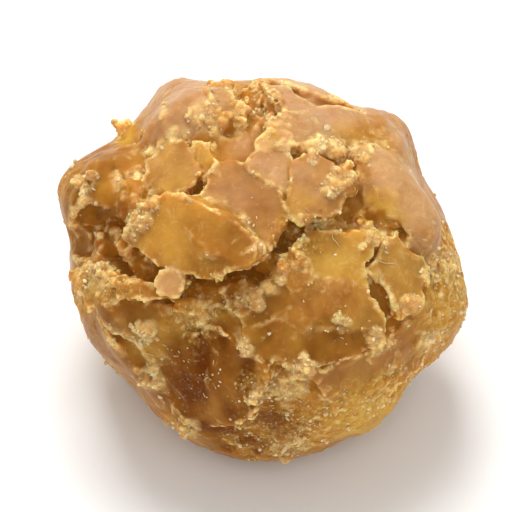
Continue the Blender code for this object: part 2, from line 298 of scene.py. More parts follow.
def crevice_shape(stops, pattern, round_over=1.2, ragged=0.4):
    """A chain of tapering rods through the stops: the distance to the line less its half-width."""
    ends = []
    for across, up, half_width, depth in stops:
        spot = seat(face_way(across, up))
        ends.append((spot.place - spot.axes[2] * depth, half_width))
    places = np.array([place for place, _ in ends])
    middle = (places.min(axis=0) + places.max(axis=0)) / 2
    span = np.linalg.norm(places - middle, axis=1).max() + max(width for _, width in ends) + 3

    def distance(points):
        best = None
        for (start, wide), (end, next_wide) in zip(ends, ends[1:]):
            run = (end - start).astype(F)
            share = np.clip((points - start.astype(F)) @ run / (run @ run), 0, 1)
            away = points - start.astype(F) - share[:, None] * run
            rod = np.linalg.norm(away, axis=1) - (wide + (next_wide - wide) * share)
            best = rod if best is None else smooth_min(best, rod, 1.0)
        return best + ragged * (noise(points, 2.5, pattern) + 0.7 * noise(points, 1.2, pattern + 8))

    return Shape(middle, span, distance, round_over)


def inside_out_of(x, y, corners):
    """Distance to a closed outline: the nearest edge, with a minus sign inside by crossings."""
    nearest = np.full(x.shape, 1e9, F)
    inside = np.zeros(x.shape, bool)
    for (x0, y0), (x1, y1) in zip(corners, np.roll(corners, -1, axis=0)):
        ex, ey = x1 - x0, y1 - y0
        share = np.clip(((x - x0) * ex + (y - y0) * ey) / (ex * ex + ey * ey), 0, 1)
        nearest = np.minimum(nearest, (x - x0 - share * ex) ** 2 + (y - y0 - share * ey) ** 2)
        crossing = x0 + (y - y0) * ex / (ey if abs(ey) > 1e-6 else 1e-6)
        inside ^= ((y0 > y) != (y1 > y)) & (x < crossing)
    return np.where(inside, -np.sqrt(nearest), np.sqrt(nearest)).astype(F)


def plate_shape(place, corners, thick, crown, pattern, round_over=0.5, ragged=RAGGED):
    """A slab: the greater of the distance to its ragged outline, which draws in underneath, the
    distance to its crowned top and the distance to its underside."""
    corners = np.array(corners, F)
    axes = place.axes.astype(F)

    def distance(points):
        x, y, z = ((points - place.place.astype(F)) @ axes.T).T
        rim = inside_out_of(x, y, corners)
        wander = noise(points, 3.4, pattern) + 0.8 * noise(points, 1.5, pattern + 50)
        wander += 0.5 * noise(points, 0.8, pattern + 90)
        top = z + (x * x + y * y) / (2 * crown) - 0.25 * noise(points, 5.0, pattern + 20)
        top = top + CRUMBLED * noise(points, 1.3, pattern + 110) * np.exp(-((rim / 1.2) ** 2))
        rim = rim + ragged * wander + UNDERCUT * np.maximum(-top, 0)
        return smooth_max(smooth_max(rim, top, 0.35), -z - thick, 0.4)

    span = np.linalg.norm(corners, axis=1).max() + thick + 3
    return Shape(place.place, span, distance, round_over)


def flat_break_shape(place, depth, pattern):
    """All that lies above a plane this deep under its seat, with the plane slightly uneven."""
    out = place.axes[2].astype(F)

    def distance(points):
        height = (points - place.place.astype(F)) @ out + depth
        return -(height + 0.3 * noise(points, 4.0, pattern) + 0.12 * noise(points, 1.3, pattern + 1))

    return Shape(place.place, 40.0, distance, 0.7)


def shape_at(spot, roll, lean, height):
    """A seat moved out along its own axis."""
    place = seat(spot, roll, lean)
    return Seat(place.place + place.axes[2] * height, place.axes)


print("shapes ready: boulder, crevice, plate, flat break")

# %% [markdown]
# ## The features of this lump
#
# These tables are the lump's anatomy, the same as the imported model's: boulders at the top and the
# sides, one long crevice from left to right, and the plates above and below it.

# %% Boulders
# Place (across, up), roll, half-sizes, height, fullness.
LOBES = {
    "top_left_boulder": ((-12.0, 23.0), 20, (9.2, 6.2, 7.0), 2.6, 2.0),
    "top_right_cap": ((7.0, 25.0), -12, (12.0, 6.5, 8.0), 2.2, 2.6),
    "right_shoulder": ((21.5, 18.0), 25, (6.2, 9.0, 7.0), 1.8, 2.0),
    "amber_knob": ((14.6, 21.5), 0, (3.0, 3.4, 3.6), 1.4, 2.0),
    "right_boulder": ((21.0, 10.5), -38, (10.5, 5.4, 6.5), 3.6, 2.4),
    "left_lobe": ((-25.5, 13.0), 20, (8.0, 9.0, 8.0), 2.4, 2.0),
    "middle_lobe": ((6.2, 11.0), -20, (7.0, 6.2, 6.0), 3.2, 2.0),
    "left_band": ((-20.0, -13.5), -50, (12.0, 3.6, 5.0), 1.6, 2.0),
    "shelf": ((-20.0, -6.0), -10, (8.5, 4.5, 6.0), 1.4, 2.0),
}
boulders = [
    boulder_shape(shape_at(face_way(*spot), roll, (0, 0), height - half[2]), half, fullness)
    for spot, roll, half, height, fullness in LOBES.values()
]
print(len(boulders), "boulders")

# %% Crevices
# Stops along each one: across, up, half-width, depth of its middle.
CREVICES = {
    "left_hollow": ((-25, 5.5, 5.2, -1.6), (-19, 4.5, 5.2, -1.4)),
    "main": (
        (-32, 5.5, 2.0, -0.5), (-26.5, 4.5, 3.0, 0.2), (-21, 1.5, 3.6, 0.8), (-15.5, -2, 3.2, 1.2),
        (-9, -3.5, 2.6, 1.6), (-2.5, -2, 3.0, 1.4), (1.5, 1.5, 3.0, 1.0), (5, 6, 2.8, 0.8),
        (8, 9, 2.4, 0.4), (11, 10, 1.4, 0.0),
    ),
    "left_pocket": ((-21.5, 13.5, 1.4, 0.3), (-18.5, 11.5, 2.2, 1.0), (-18, 8.5, 2.0, 0.5)),
    "boulder_valley": ((12.5, 9.5, 1.8, -0.4), (17.5, 6.5, 1.8, -0.4), (21, 5.5, 1.2, -0.2)),
    "band_line": (
        (-24.5, -6.5, 0.7, -1.3), (-20, -11.5, 1.1, -1.0), (-16, -17, 0.9, -0.8), (-12.5, -20.5, 0.6, -0.6),
    ),
    "top_valley": ((-4, 29, 1.6, -1.4), (-1.5, 26, 2.2, -1.0), (1.5, 24, 1.6, -1.0), (-4, 22, 1.2, -1.0)),
    "cap_crease": ((2.5, 27, 0.6, -1.9), (8, 24.5, 0.6, -1.9), (14.5, 24, 0.6, -1.8)),
    "shoulder_crease": ((14, 18.5, 0.8, -1.0), (14, 14, 1.2, -0.6), (14.5, 10, 1.6, 0.2)),
    "boulder_foot": ((-23.5, 21.5, 1.0, -1.4), (-19.5, 20, 1.0, -1.2), (-17, 21, 0.8, -1.0)),
}
SLIT = ((17, -0.5, 0.5, -1.4), (18, -4, 1.2, -1.4), (19.5, -9, 0.8, -0.8))
crevices = [crevice_shape(stops, 30 + index) for index, stops in enumerate(CREVICES.values())]
slit = crevice_shape(SLIT, 45, round_over=0.5, ragged=0.25)
print(len(crevices), "crevices and a slit")

# %% Plates
# Corners (across, up) as seen square on, height, thickness, lean (across, up), crown radius.
PLATES = {
    "small_plate_behind": (((-10.5, 20.5), (-7.5, 20), (-6.5, 17), (-8, 14), (-11, 14.5)), 1.7, 3.0, (6, 4), 40),
    "small_plate": (((-16, 21), (-11, 21), (-9.5, 16), (-12, 12.5), (-17, 11.5), (-18, 14)), 3.0, 4.0, (-8, 6), 30),
    "pink_flake": (((1, 23), (3.5, 25), (7.5, 24), (14, 20.5), (13, 19), (6, 20)), 1.6, 2.5, (0, 4), 40),
    "pale_flake": (((-0.5, 20), (1.5, 22), (4.5, 21), (4.5, 19.5), (1, 19)), 2.2, 2.0, (0, -6), 40),
    "crumb_ridge": (((5, 20), (9, 20.5), (13.5, 19), (13, 17), (8, 18.5)), 2.6, 3.0, (0, 0), 8),
    "upper_middle": (((-2, 18), (0.5, 19.5), (4, 19), (6.5, 15.5), (5, 11.5), (-2, 16.5)), 2.7, 4.0, (0, 10), 22),
    "right_of_centre": (
        ((4.5, 17), (7, 18.5), (11, 17.5), (13.5, 13.5), (13, 10.5), (6.5, 8.5), (5, 11)), 4.4, 4.5, (6, 12), 14,
    ),
    "centre_sheet": (
        ((-4.5, 17.5), (0, 16.5), (3, 13.5), (4.5, 9.5), (1.5, 4.5), (-2, 2.5), (-8, 4), (-11.5, 9), (-7, 17)),
        3.4, 5.0, (-2, 12), 28,
    ),
    "left_sheet": (
        ((-18.5, 10.5), (-12.5, 12), (-7, 10), (-2.5, 5), (-2.5, 2), (-8.5, -2), (-17, 1.5), (-22, 5)),
        4.4, 3.8, (-8, -2), 34,
    ),
    "nub": (((-15.5, 0), (-13, 0.5), (-11.5, -2), (-13, -4), (-16, -3.5)), 5.2, 4.5, (0, 4), 9),
    "shelf_edge_left": (((-30, -0.5), (-25.5, 1), (-21, -1.5), (-22.5, -4.5), (-27, -6.5)), 2.6, 4.0, (0, 14), 30),
    "shelf_edge_right": (((-23, -1.5), (-15.5, -2), (-12, -2.5), (-14, -4.5), (-22.5, -4.5)), 2.8, 4.0, (0, 14), 30),
    "big_plate_top": (
        ((6.5, 4.5), (8, 6), (15, 6.5), (19, 5), (16.5, 1), (17.5, -4), (20, -9.5), (6, -8), (3.5, 1)),
        2.4, 5.0, (0, -7), 40,
    ),
    "big_plate_bottom": (
        ((3.5, 0.5), (15, -3), (19.5, -9), (19, -12), (14, -13.5), (6, -15), (-1.5, -13.5), (-3.5, -7)),
        2.1, 5.0, (-1, -7), 34,
    ),
    "right_plate": (
        ((20, 5), (22, 6.5), (23, 4), (26, 2), (26, -4), (24.5, -6.5), (22, -7.5), (19, -2), (17, 0)),
        2.2, 4.0, (3, 2), 60,
    ),
    "lower_right_face": (
        ((9, -17), (14, -14), (19, -12), (24, -8), (28, -10.5), (27, -15), (20, -19.5), (12, -22.5)),
        0.5, 4.0, (-2, -6), 45,
    ),
    "front_face": (
        ((-15.5, -11.5), (-7, -9.5), (0, -15.5), (0, -19.5), (-2, -24), (-9, -25.5), (-14, -22), (-17.5, -15)),
        0.4, 4.0, (-2, -2), 36,
    ),
}
MELTED_IN = {"upper_middle": 1.2, "left_sheet": 2.0, "big_plate_bottom": 1.5}


def seen_plate(name, index):
    """Seats a plate over the middle of its corners and carries the corners onto its plane along
    the line of sight: the step out of the plane is the step aside over the axis's own share."""
    corners, height, thick, lean, crown = PLATES[name]
    seen = np.array(corners, float)
    middle = (seen.min(axis=0) + seen.max(axis=0)) / 2
    place = shape_at(face_way(*middle), 0, lean, height)
    aside = np.column_stack([seen - place.place[:2], np.zeros(len(seen))])
    out = place.axes[2]
    aside[:, 2] = -(aside @ out) / out[2]
    flat = aside @ place.axes[:2].T
    return plate_shape(place, flat, thick, crown, index, MELTED_IN.get(name, 0.5))


plates = [seen_plate(name, index) for index, name in enumerate(PLATES)]
RIDGE = ((-6.1, -9.8, 0.5, 0.2), (-3.2, -12.4, 0.75, 0.25), (0, -15.8, 0.5, 0.2))
ridge = crevice_shape(RIDGE, 48, round_over=0.4, ragged=0.12)
print(len(plates), "plates and a ridge")

# %% [markdown]
# ## The sides and the back
#
# They are broken in the same way, at even steps around the lump: flat faces where pieces came
# away, plates that stand a little proud at one side, and dents.

# %% The far side
FAR_FACES = 18
FAR_PLATES = 7
FAR_DENTS = 5
FAR_SEED = 11
FAR_FRONT = -0.2
FAR_FOOT = 0.55


def far_ways(count, chance):
    """Golden-spiral directions, nudged a little, without those in front or underneath."""
    found = []
    for index in range(3 * count):
        way = spiral(index, 3 * count) + np.array([chance.uniform(-0.12, 0.12) for _ in range(3)])
        way = unit(way)
        if way[2] < FAR_FRONT and -way @ FACE_AXES[:, 2] < FAR_FOOT:
            found.append(way)
    return found[:count]


def far_corners(size, chance):
    """A broken plate's corners: even turns and spans, each nudged."""
    sides = chance.randint(5, 7)
    corners = []
    for side in range(sides):
        angle = math.tau * (side + chance.uniform(-0.25, 0.25)) / sides
        span = size * chance.uniform(0.75, 1.15)
        corners.append((span * math.cos(angle), span * math.sin(angle)))
    return corners


chance = random.Random(FAR_SEED)
for index, way in enumerate(far_ways(FAR_FACES, chance)):
    lean = (chance.uniform(-8, 8), chance.uniform(-8, 8))
    crevices.append(flat_break_shape(seat(way, 0, lean), chance.uniform(0.8, 1.9), 130 + 2 * index))
for index, way in enumerate(far_ways(FAR_PLATES, chance)):
    lean = (chance.uniform(-12, 12), chance.uniform(-12, 12))
    place = shape_at(way, chance.uniform(0, 360), lean, chance.uniform(0.0, 0.6))
    plates.append(plate_shape(place, far_corners(chance.uniform(5.0, 8.0), chance), 4.0, 32.0, 170 + index))
for index, way in enumerate(far_ways(FAR_DENTS, chance)):
    half = (chance.uniform(4, 8), chance.uniform(2.5, 4.5), chance.uniform(2.0, 3.0))
    place = shape_at(way, chance.uniform(0, 360), (0, 0), chance.uniform(0.0, 0.8))
    crevices.append(boulder_shape(place, half, round_over=1.0))
print("with the far side:", len(crevices), "cuts and", len(plates), "plates")

# %% [markdown]
# ## Rubble
#
# The crevices aren't clean cuts: bits that came loose have wedged in them and melted on.

# %% Bits wedged in the crevices
RUBBLE = 64
RUBBLE_IN = ("main", "left_hollow", "boulder_valley", "left_pocket", "top_valley")

# Place, half-sizes and height of the bits that show.
WEDGED = (
    ((-1.3, 3.0), (2.6, 2.0, 1.8), 1.2), ((-14.5, 4.5), (2.0, 1.5, 1.4), -1.5), ((7.0, 4.5), (1.6, 1.2, 1.2), -2.0),
    ((-10.5, -5.5), (2.4, 1.2, 1.5), 0.4), ((-19.5, 8.5), (1.6, 2.2, 1.5), -1.6), ((10.5, 7.5), (1.5, 1.3, 1.5), -1.8),
    ((-19.8, 11.2), (2.8, 3.2, 2.4), -0.9), ((-24.0, 4.0), (3.0, 2.4, 2.0), -3.2),
    ((-20.6, 14.7), (1.8, 1.6, 1.6), -0.4), ((-9.0, -3.6), (3.4, 1.8, 1.6), -1.6), ((-3.0, -3.2), (3.0, 1.8, 1.6), -1.4),
    ((2.2, 1.2), (2.6, 1.6, 1.6), -1.6), ((-18.5, 0.5), (3.0, 2.0, 1.6), -2.2), ((5.6, 6.4), (2.0, 1.8, 1.5), -1.6),
    ((-21.2, 21.6), (1.1, 0.35, 1.7), 0.0), ((12.6, 13.2), (1.3, 2.6, 1.8), 2.9), ((6.4, -15.0), (1.9, 1.3, 1.2), 0.5),
)
rubble = [
    boulder_shape(shape_at(face_way(*spot), 0, (0, 0), height), half, 2.6, 0.6, 0.45) for spot, half, height in WEDGED
]

chance = random.Random(5)
for _ in range(RUBBLE):
    stops = CREVICES[chance.choice(RUBBLE_IN)]
    across, up, half_width, depth = chance.choice(stops[1:])
    spot = face_way(across + chance.uniform(-2.2, 2.2), up + chance.uniform(-2.2, 2.2))
    half = [chance.uniform(0.8, 2.0) for _ in range(3)]
    sunk = -(depth + 0.6 * half_width) - chance.uniform(-0.6, 0.8)
    lean = (chance.uniform(-30, 30), chance.uniform(-30, 30))
    rubble.append(boulder_shape(shape_at(spot, chance.uniform(0, 360), lean, sunk), half, 2.8, 0.5, 0.45))
print(len(rubble), "wedged bits")

# %% [markdown]
# ## Where the surface is rough
#
# Where the sugar has grained, the surface is rough at half a millimetre; where it has crumbled,
# rounded lumps a millimetre wide stand side by side; and where it was pulled while soft, flutes
# run across it.  All three are soft spots on the face, with edges strayed by noise.

# %% Grained, crumbly and fluted spots
# Across, up, radius and amount.
GRAINED = (
    (-1, 26.5, 4.5, 1), (2, 24, 3, 1), (29.5, -4, 6, 1), (30, 3.5, 4.5, 1), (28, -11, 4, 1), (14, -22, 5, 1),
    (20.5, -19.5, 4.5, 1), (26, -15.5, 4, 0.8), (7, -25.5, 5, 1), (-26, -2, 4.5, 0.8), (-20, -2.5, 3, 0.6),
    (0, -17.5, 4, 0.8), (5, -16.5, 3.5, 1), (3.5, -20.5, 3.5, 1), (-5.5, -5.5, 3, 1), (-11, -7.5, 4, 0.9),
    (-29, 13, 4, 0.5), (-7.5, 25, 3, 0.9), (-1, -28, 5, 0.8), (-13, -25, 3, 0.8), (-29.5, -5, 3, 0.7), (6, 5, 5, 0.9),
    (-8, -2, 4, 0.6),
)
CRUMBLY = (
    (-9.5, 24.5, 2.6, 0.7), (-7, 22.5, 2, 0.5), (-6, 28, 2.4, 0.8), (-13, 21.5, 1.8, 0.7), (-16.8, 17, 1.8, 0.5),
    (-18.7, 7.2, 2.4, 1.1), (-17, 10, 1.6, 0.8), (12.3, 13.5, 2.4, 1.2), (9, 19, 2.4, 0.9), (13, 18.8, 2, 0.8),
    (16, 18.3, 2, 0.7), (5.5, 1.5, 1.3, 0.9), (3.3, -0.8, 1.3, 0.9), (1.5, -2.6, 1.4, 1.0), (-1.2, -5.2, 1.4, 0.8), (17.5, 5, 2.2, 0.8), (29, 1, 3, 0.6),
    (26.3, -0.5, 1.8, 0.8), (24.3, -5.2, 2.1, 1.2), (26, -11, 2, 0.7), (18.5, -10.8, 1.9, 1.0), (12.6, -8.3, 1.3, 0.7),
    (6.5, -15.2, 2, 1.2), (5, -18.5, 2.6, 0.8), (0.5, -19, 2.2, 0.6), (-25.5, -0.8, 3.2, 0.7), (-17.5, -10, 2.2, 0.9),
    (-9.5, -7.5, 3, 0.4), (-2.0, -3.4, 2.0, 0.8), (-17.2, -16.5, 2, 0.9), (-11, -25, 2.2, 0.9), (-27, 13, 2.6, 0.35),
    (5, -28.5, 3, 0.5), (-2.2, -11.5, 1.4, 0.8),
)
BELL_SHARES = np.array([1.0, 1.0, 0.35], F)
SMOOTH = (
    (-1, 11, 7, 0.9), (9.5, 13.5, 5, 0.9), (-11, 5, 8, 0.8), (-13.5, 16.5, 4, 0.9), (14, 2, 6, 0.6), (8, -6, 6, 0.5),
    (22, 1, 5, 0.8), (21, 12, 6, 0.8), (10, 25, 7, 0.7), (2.5, 15.5, 4, 0.8), (-13.5, -2, 3, 1.0),
)
FLUTED = ((-26, 12, 6.5, 1.0), (-23, 5, 5, 0.8), (-12, 25, 6, 0.6), (10, 26, 6, 0.35), (21, 10, 5, 0.3))


def stray(points):
    """Points moved about by three noises, so that a patch drawn with them has a wandering edge."""
    return points + np.stack([1.1 * noise(points, 2.8, 73 + axis) for axis in range(3)], axis=1)


def bells(strayed, spots):
    """The greatest of bell-shaped spots, each as high as its amount along a line out of its
    middle: depth counts for less than the way across, as plates stand above the core."""
    total = np.zeros(len(strayed), F)
    for across, up, radius, amount in spots:
        off = (strayed - seat(face_way(across, up)).place.astype(F)) * BELL_SHARES
        away = (off**2).sum(axis=1) / F(radius * radius)
        total = np.maximum(total, F(amount) * np.exp(-away * away))
    return total


def behind(strayed, size, pattern):
    """Behind the face, wherever a wide noise and a narrower one together are high."""
    wide = noise(strayed, size, pattern) + 0.6 * noise(strayed, size * 0.37, pattern + 1)
    return np.clip(-strayed[:, 2] / 10 - 0.1, 0, 1) * np.clip(wide * 2, 0, 1)


def grained_share(strayed):
    return np.clip(np.maximum(bells(strayed, GRAINED), behind(strayed, 9.0, 70)) * 1.1, 0, 1)


def crumbly_share(strayed):
    return np.clip(np.maximum(bells(strayed, CRUMBLY), 0.8 * behind(strayed, 5.5, 74) ** 2), 0, 1.1)


def roughness(points):
    """Grain: two fine noises.  Crumbs: the absolute of a noise, which makes round lumps with sharp
    creases between.  Flutes: a noise stretched one way."""
    fine = 0.24 * noise(points, 1.1, 64) + 0.2 * noise(points, 0.65, 65)
    lumps = 0.55 * np.abs(noise(points, 1.7, 67)) + 0.3 * np.abs(noise(points, 0.9, 68)) - 0.16
    flutes = 0.45 * noise(points * np.array([1.0, 0.35, 0.8], F), 2.0, 69)
    total = 0.05 * noise(points, 0.9, 66) + 0.04 * noise(points, 1.8, 61)
    strayed = stray(points)
    total += grained_share(strayed) * fine - crumbly_share(strayed) * lumps * 1.1
    return total + bells(strayed, FLUTED) * flutes


def layers(points):
    """Thin flakes that still cling: wherever a noise is high the surface steps up by a hair, but
    hardly on the smooth plates."""
    total = np.zeros(len(points), F)
    for size, height, pattern in ((5.0, 0.2, 80), (2.6, 0.12, 81), (1.5, 0.06, 82)):
        total += height * np.clip(noise(points, size, pattern) * 8 - 0.6, 0, 1)
    return total * (1 - bells(points, SMOOTH))


print(len(GRAINED), "grained,", len(CRUMBLY), "crumbly and", len(FLUTED), "fluted spots")


# %% The whole lump as one distance
def near(shape, points):
    return np.nonzero(((points - shape.middle.astype(F)) ** 2).sum(axis=1) < shape.span**2)[0]


def join(distance, shape, points):
    who = near(shape, points)
    distance[who] = smooth_min(distance[who], shape.distance(points[who]), shape.round_over)


def cut(distance, shape, points):
    who = near(shape, points)
    distance[who] = smooth_max(distance[who], -shape.distance(points[who]), shape.round_over)


pebbles = []  # Filled below, once there is a lump for them to lie on.


def lump_distance(points):
    """Core and boulders, less the crevices, plus rubble, plates and pebbles, less the slit and the
    ground; close to the surface, roughened and layered."""
    points = points.astype(F)
    distance = core(points) + 0.25 * noise(points, 6.0, 62) + 0.1 * noise(points, 2.4, 63)
    for shape in boulders:
        join(distance, shape, points)
    for shape in crevices:
        cut(distance, shape, points)
    for shape in rubble + plates + [ridge] + pebbles:
        join(distance, shape, points)
    cut(distance, slit, points)
    close = np.nonzero(np.abs(distance) < 2.5)[0]
    distance[close] += roughness(points[close]) - layers(points[close])
    return smooth_max(distance, -height_above_ground(points), 0.3)


print("distance a millimetre from the middle:", lump_distance(np.eye(3))[0].round(1))

# %% Pebbles of grained sugar on the crumbly spots
PEBBLES_A_MILLIMETRE = 2.6
DROP_FROM = 36.0


def dropped(spots):
    """Places let down along the line of sight onto the lump, each step a share of the distance."""
    points = np.column_stack([spots, np.full(len(spots), DROP_FROM)]).astype(F)
    for _ in range(40):
        points[:, 2] -= 0.8 * lump_distance(points)
    return points.astype(float)


chance = random.Random(9)
pebble_spots = []
for across, up, radius, amount in CRUMBLY:
    for _ in range(round(PEBBLES_A_MILLIMETRE * radius * amount)):
        angle, away = chance.uniform(0, math.tau), radius * math.sqrt(chance.uniform(0, 0.8))
        pebble_spots.append((across + away * math.cos(angle), up + away * math.sin(angle)))
landed = dropped(np.array(pebble_spots))
landed = landed[np.abs(lump_distance(landed)) < 0.3]
for place in landed:
    size = chance.triangular(0.3, 0.95, 0.4)
    half = [size * chance.uniform(0.7, 1.3) for _ in range(3)]
    turn = seat(unit(place), chance.uniform(0, 360), (chance.uniform(-40, 40), chance.uniform(-40, 40)))
    pebbles.append(boulder_shape(Seat(place, turn.axes), half, 2.6, 0.3, 0.3))
print(len(pebbles), "pebbles")

# %% [markdown]
# ## The skin
#
# To draw the skin, the distance is read on a lattice of small cells.  Every cell that the surface
# passes through gets one vertex, at the mean of the places where its edges cross zero, and every
# crossed edge gets one face between its four cells.  Two steps along the slope then bring each
# vertex onto the surface exactly.

# %% Reading the distance on a lattice
CELL = 0.38
COARSE = 3
LATTICE_LOW = np.array([-36.0, -35.0, -31.0], F)
LATTICE_HIGH = np.array([36.0, 35.0, 36.0], F)


def lattice_distances(cell):
    """The distance on a lattice, worked out in full only where a coarse look finds it small."""
    low = LATTICE_LOW
    count = (np.ceil((LATTICE_HIGH - low) / (cell * COARSE)).astype(int)) * COARSE + 1
    axes = [low[axis] + cell * np.arange(count[axis], dtype=F) for axis in range(3)]
    coarse = np.stack(np.meshgrid(*[axis[::COARSE] for axis in axes], indexing="ij"), -1)
    rough = lump_distance(coarse.reshape(-1, 3)).reshape(coarse.shape[:3])
    values = rough
    for axis in range(3):
        along = np.arange(count[axis]) / COARSE
        lower = np.minimum(along.astype(int), rough.shape[axis] - 2)
        share = (along - lower).astype(F).reshape([-1 if a == axis else 1 for a in range(3)])
        values = values.take(lower, axis) * (1 - share) + values.take(lower + 1, axis) * share
    close = np.abs(values) < cell * COARSE * 1.9
    spots = np.argwhere(close)
    values[close] = lump_distance(low + cell * spots.astype(F))
    return values, low, len(spots)


distances, lattice_low, full_reads = lattice_distances(CELL)
print("lattice", distances.shape, "with", full_reads, "full readings")


# %% Drawing the skin through the lattice
def shifted(grid, offset):
    size = [length - 1 for length in grid.shape]
    return grid[tuple(slice(step, step + length) for step, length in zip(offset, size))]


def skin_through(values, low, cell):
    """One vertex in each cell that the surface passes, one face across each edge it crosses."""
    inside = values < 0
    corners = [(i, j, k) for i in (0, 1) for j in (0, 1) for k in (0, 1)]
    filled = sum(shifted(inside, corner).astype(np.int8) for corner in corners)
    passed = (filled > 0) & (filled < 8)
    cells = np.argwhere(passed)
    number = np.full(passed.shape, -1, np.int64)
    number[passed] = np.arange(len(cells))
    held = {corner: shifted(values, corner)[passed] for corner in corners}
    total, crossings = np.zeros((len(cells), 3)), np.zeros(len(cells))
    for corner in corners:
        for axis in (a for a in range(3) if not corner[a]):
            far = tuple(1 if a == axis else corner[a] for a in range(3))
            start, end = held[corner], held[far]
            crossed = (start < 0) != (end < 0)
            share = np.where(crossed, start / np.where(crossed, start - end, 1), 0)
            spot = np.repeat(np.array(corner, float)[None], len(cells), axis=0)
            spot[:, axis] = share
            total += np.where(crossed[:, None], spot, 0)
            crossings += crossed
    vertices = (cells + total / crossings[:, None]) * cell + low
    faces = []
    for axis in range(3):
        second, third = (axis + 1) % 3, (axis + 2) % 3
        here, there = [slice(1, -1)] * 3, [slice(1, -1)] * 3
        here[axis], there[axis] = slice(0, -1), slice(1, None)
        starts, ends = inside[tuple(here)], inside[tuple(there)]
        edges = np.argwhere(starts != ends)
        leaving = starts[tuple(edges.T)]
        edges[:, [second, third]] += 1
        ring = []
        for back_second, back_third in ((1, 1), (0, 1), (0, 0), (1, 0)):
            around = edges.copy()
            around[:, second] -= back_second
            around[:, third] -= back_third
            ring.append(number[tuple(around.T)])
        quads = np.stack(ring, axis=1)
        quads[~leaving] = quads[~leaving][:, ::-1]
        faces.append(quads)
    return vertices, np.concatenate(faces)


def largest_part(faces, count):
    """Every vertex takes the lowest number among its neighbours' until nothing changes; the
    vertices that share the commonest number are kept, and the faces between them renumbered."""
    mark = np.arange(count)
    settled = False
    while not settled:
        lower = mark.copy()
        np.minimum.at(lower, faces.ravel(), np.repeat(mark[faces].min(axis=1), 4))
        lower = lower[lower]
        settled = (lower == mark).all()
        mark = lower
    kept = mark == np.bincount(mark).argmax()
    return kept, (np.cumsum(kept) - 1)[faces[kept[faces[:, 0]]]]


def slope(points, step=0.12):
    """How fast the distance grows along each axis, from readings a step to either side."""
    found = np.empty(points.shape, F)
    for axis, move in enumerate(np.eye(3, dtype=F) * step):
        found[:, axis] = (lump_distance(points + move) - lump_distance(points - move)) / (2 * step)
    return found


skin, skin_faces = skin_through(distances, lattice_low, CELL)
kept, skin_faces = largest_part(skin_faces, len(skin))
skin = skin[kept].astype(F)
for _ in range(2):
    way = slope(skin)
    steep = np.maximum((way * way).sum(axis=1), 0.3)
    skin -= way * np.clip(lump_distance(skin) / steep, -0.3, 0.3)[:, None]
out_of_skin = slope(skin)
out_of_skin /= np.linalg.norm(out_of_skin, axis=1)[:, None] + 1e-6
print("skin:", len(skin), "vertices,", len(skin_faces), "faces")

# %% [markdown]
# ## What the finish needs to know
#
# The colour of a spot depends on where it lies.  Thin rims and crests are painted pale: partly
# because they are crumbly, partly as painted light for the light that comes through them.  Hollows
# are painted deep and reddish as painted shade, since light only reaches them through the sugar.
# Each boulder and plate has a cast, partly its own tone and partly painted light and shade.  All of
# it is stored on the skin's vertices as numbers from 0 to 1.

# %% Rims, hollows and casts
# How pink, golden, dark and grey each boulder and plate is.  Pink on the top boulders, the nub and
# the big plate's top is partly painted light; dark on the lower plates and the left lobe is partly
# painted shade.
CASTS = {
    "top_left_boulder": (0.75, 0.0, 0.15, 0.0),
    "top_right_cap": (1.0, 0.0, 0.08, 0.0),
    "right_shoulder": (0.7, 0.1, 0.0, 0.0),
    "amber_knob": (0.1, 0.7, 0.0, 0.0),
    "right_boulder": (0.9, 0.1, 0.0, 0.0),
    "left_lobe": (0.0, 0.4, 0.75, 0.0),
    "middle_lobe": (0.3, 0.5, 0.0, 0.0),
    "left_band": (0.0, 0.0, 0.55, 0.9),
    "shelf": (0.0, 0.1, 0.6, 0.3),
    "small_plate_behind": (0.2, 0.6, 0.0, 0.0),
    "small_plate": (0.4, 0.4, 0.25, 0.0),
    "pink_flake": (0.8, 0.1, 0.0, 0.1),
    "pale_flake": (0.4, 0.6, 0.0, 0.0),
    "crumb_ridge": (0.5, 0.5, 0.0, 0.0),
    "upper_middle": (0.6, 0.1, 0.0, 0.0),
    "right_of_centre": (0.5, 0.2, 0.25, 0.0),
    "centre_sheet": (0.2, 0.1, 0.4, 0.0),
    "left_sheet": (0.1, 0.35, 0.0, 0.0),
    "nub": (1.0, 0.3, 0.0, 0.0),
    "shelf_edge_left": (0.0, 0.4, 0.1, 0.4),
    "shelf_edge_right": (0.1, 0.3, 0.2, 0.1),
    "big_plate_top": (0.4, 0.85, 0.0, 0.0),
    "big_plate_bottom": (0.0, 0.25, 0.55, 0.0),
    "right_plate": (0.1, 0.5, 0.0, 0.3),
    "lower_right_face": (0.15, 0.0, 0.25, 0.0),
    "front_face": (0.0, 0.0, 1.0, 0.0),
}
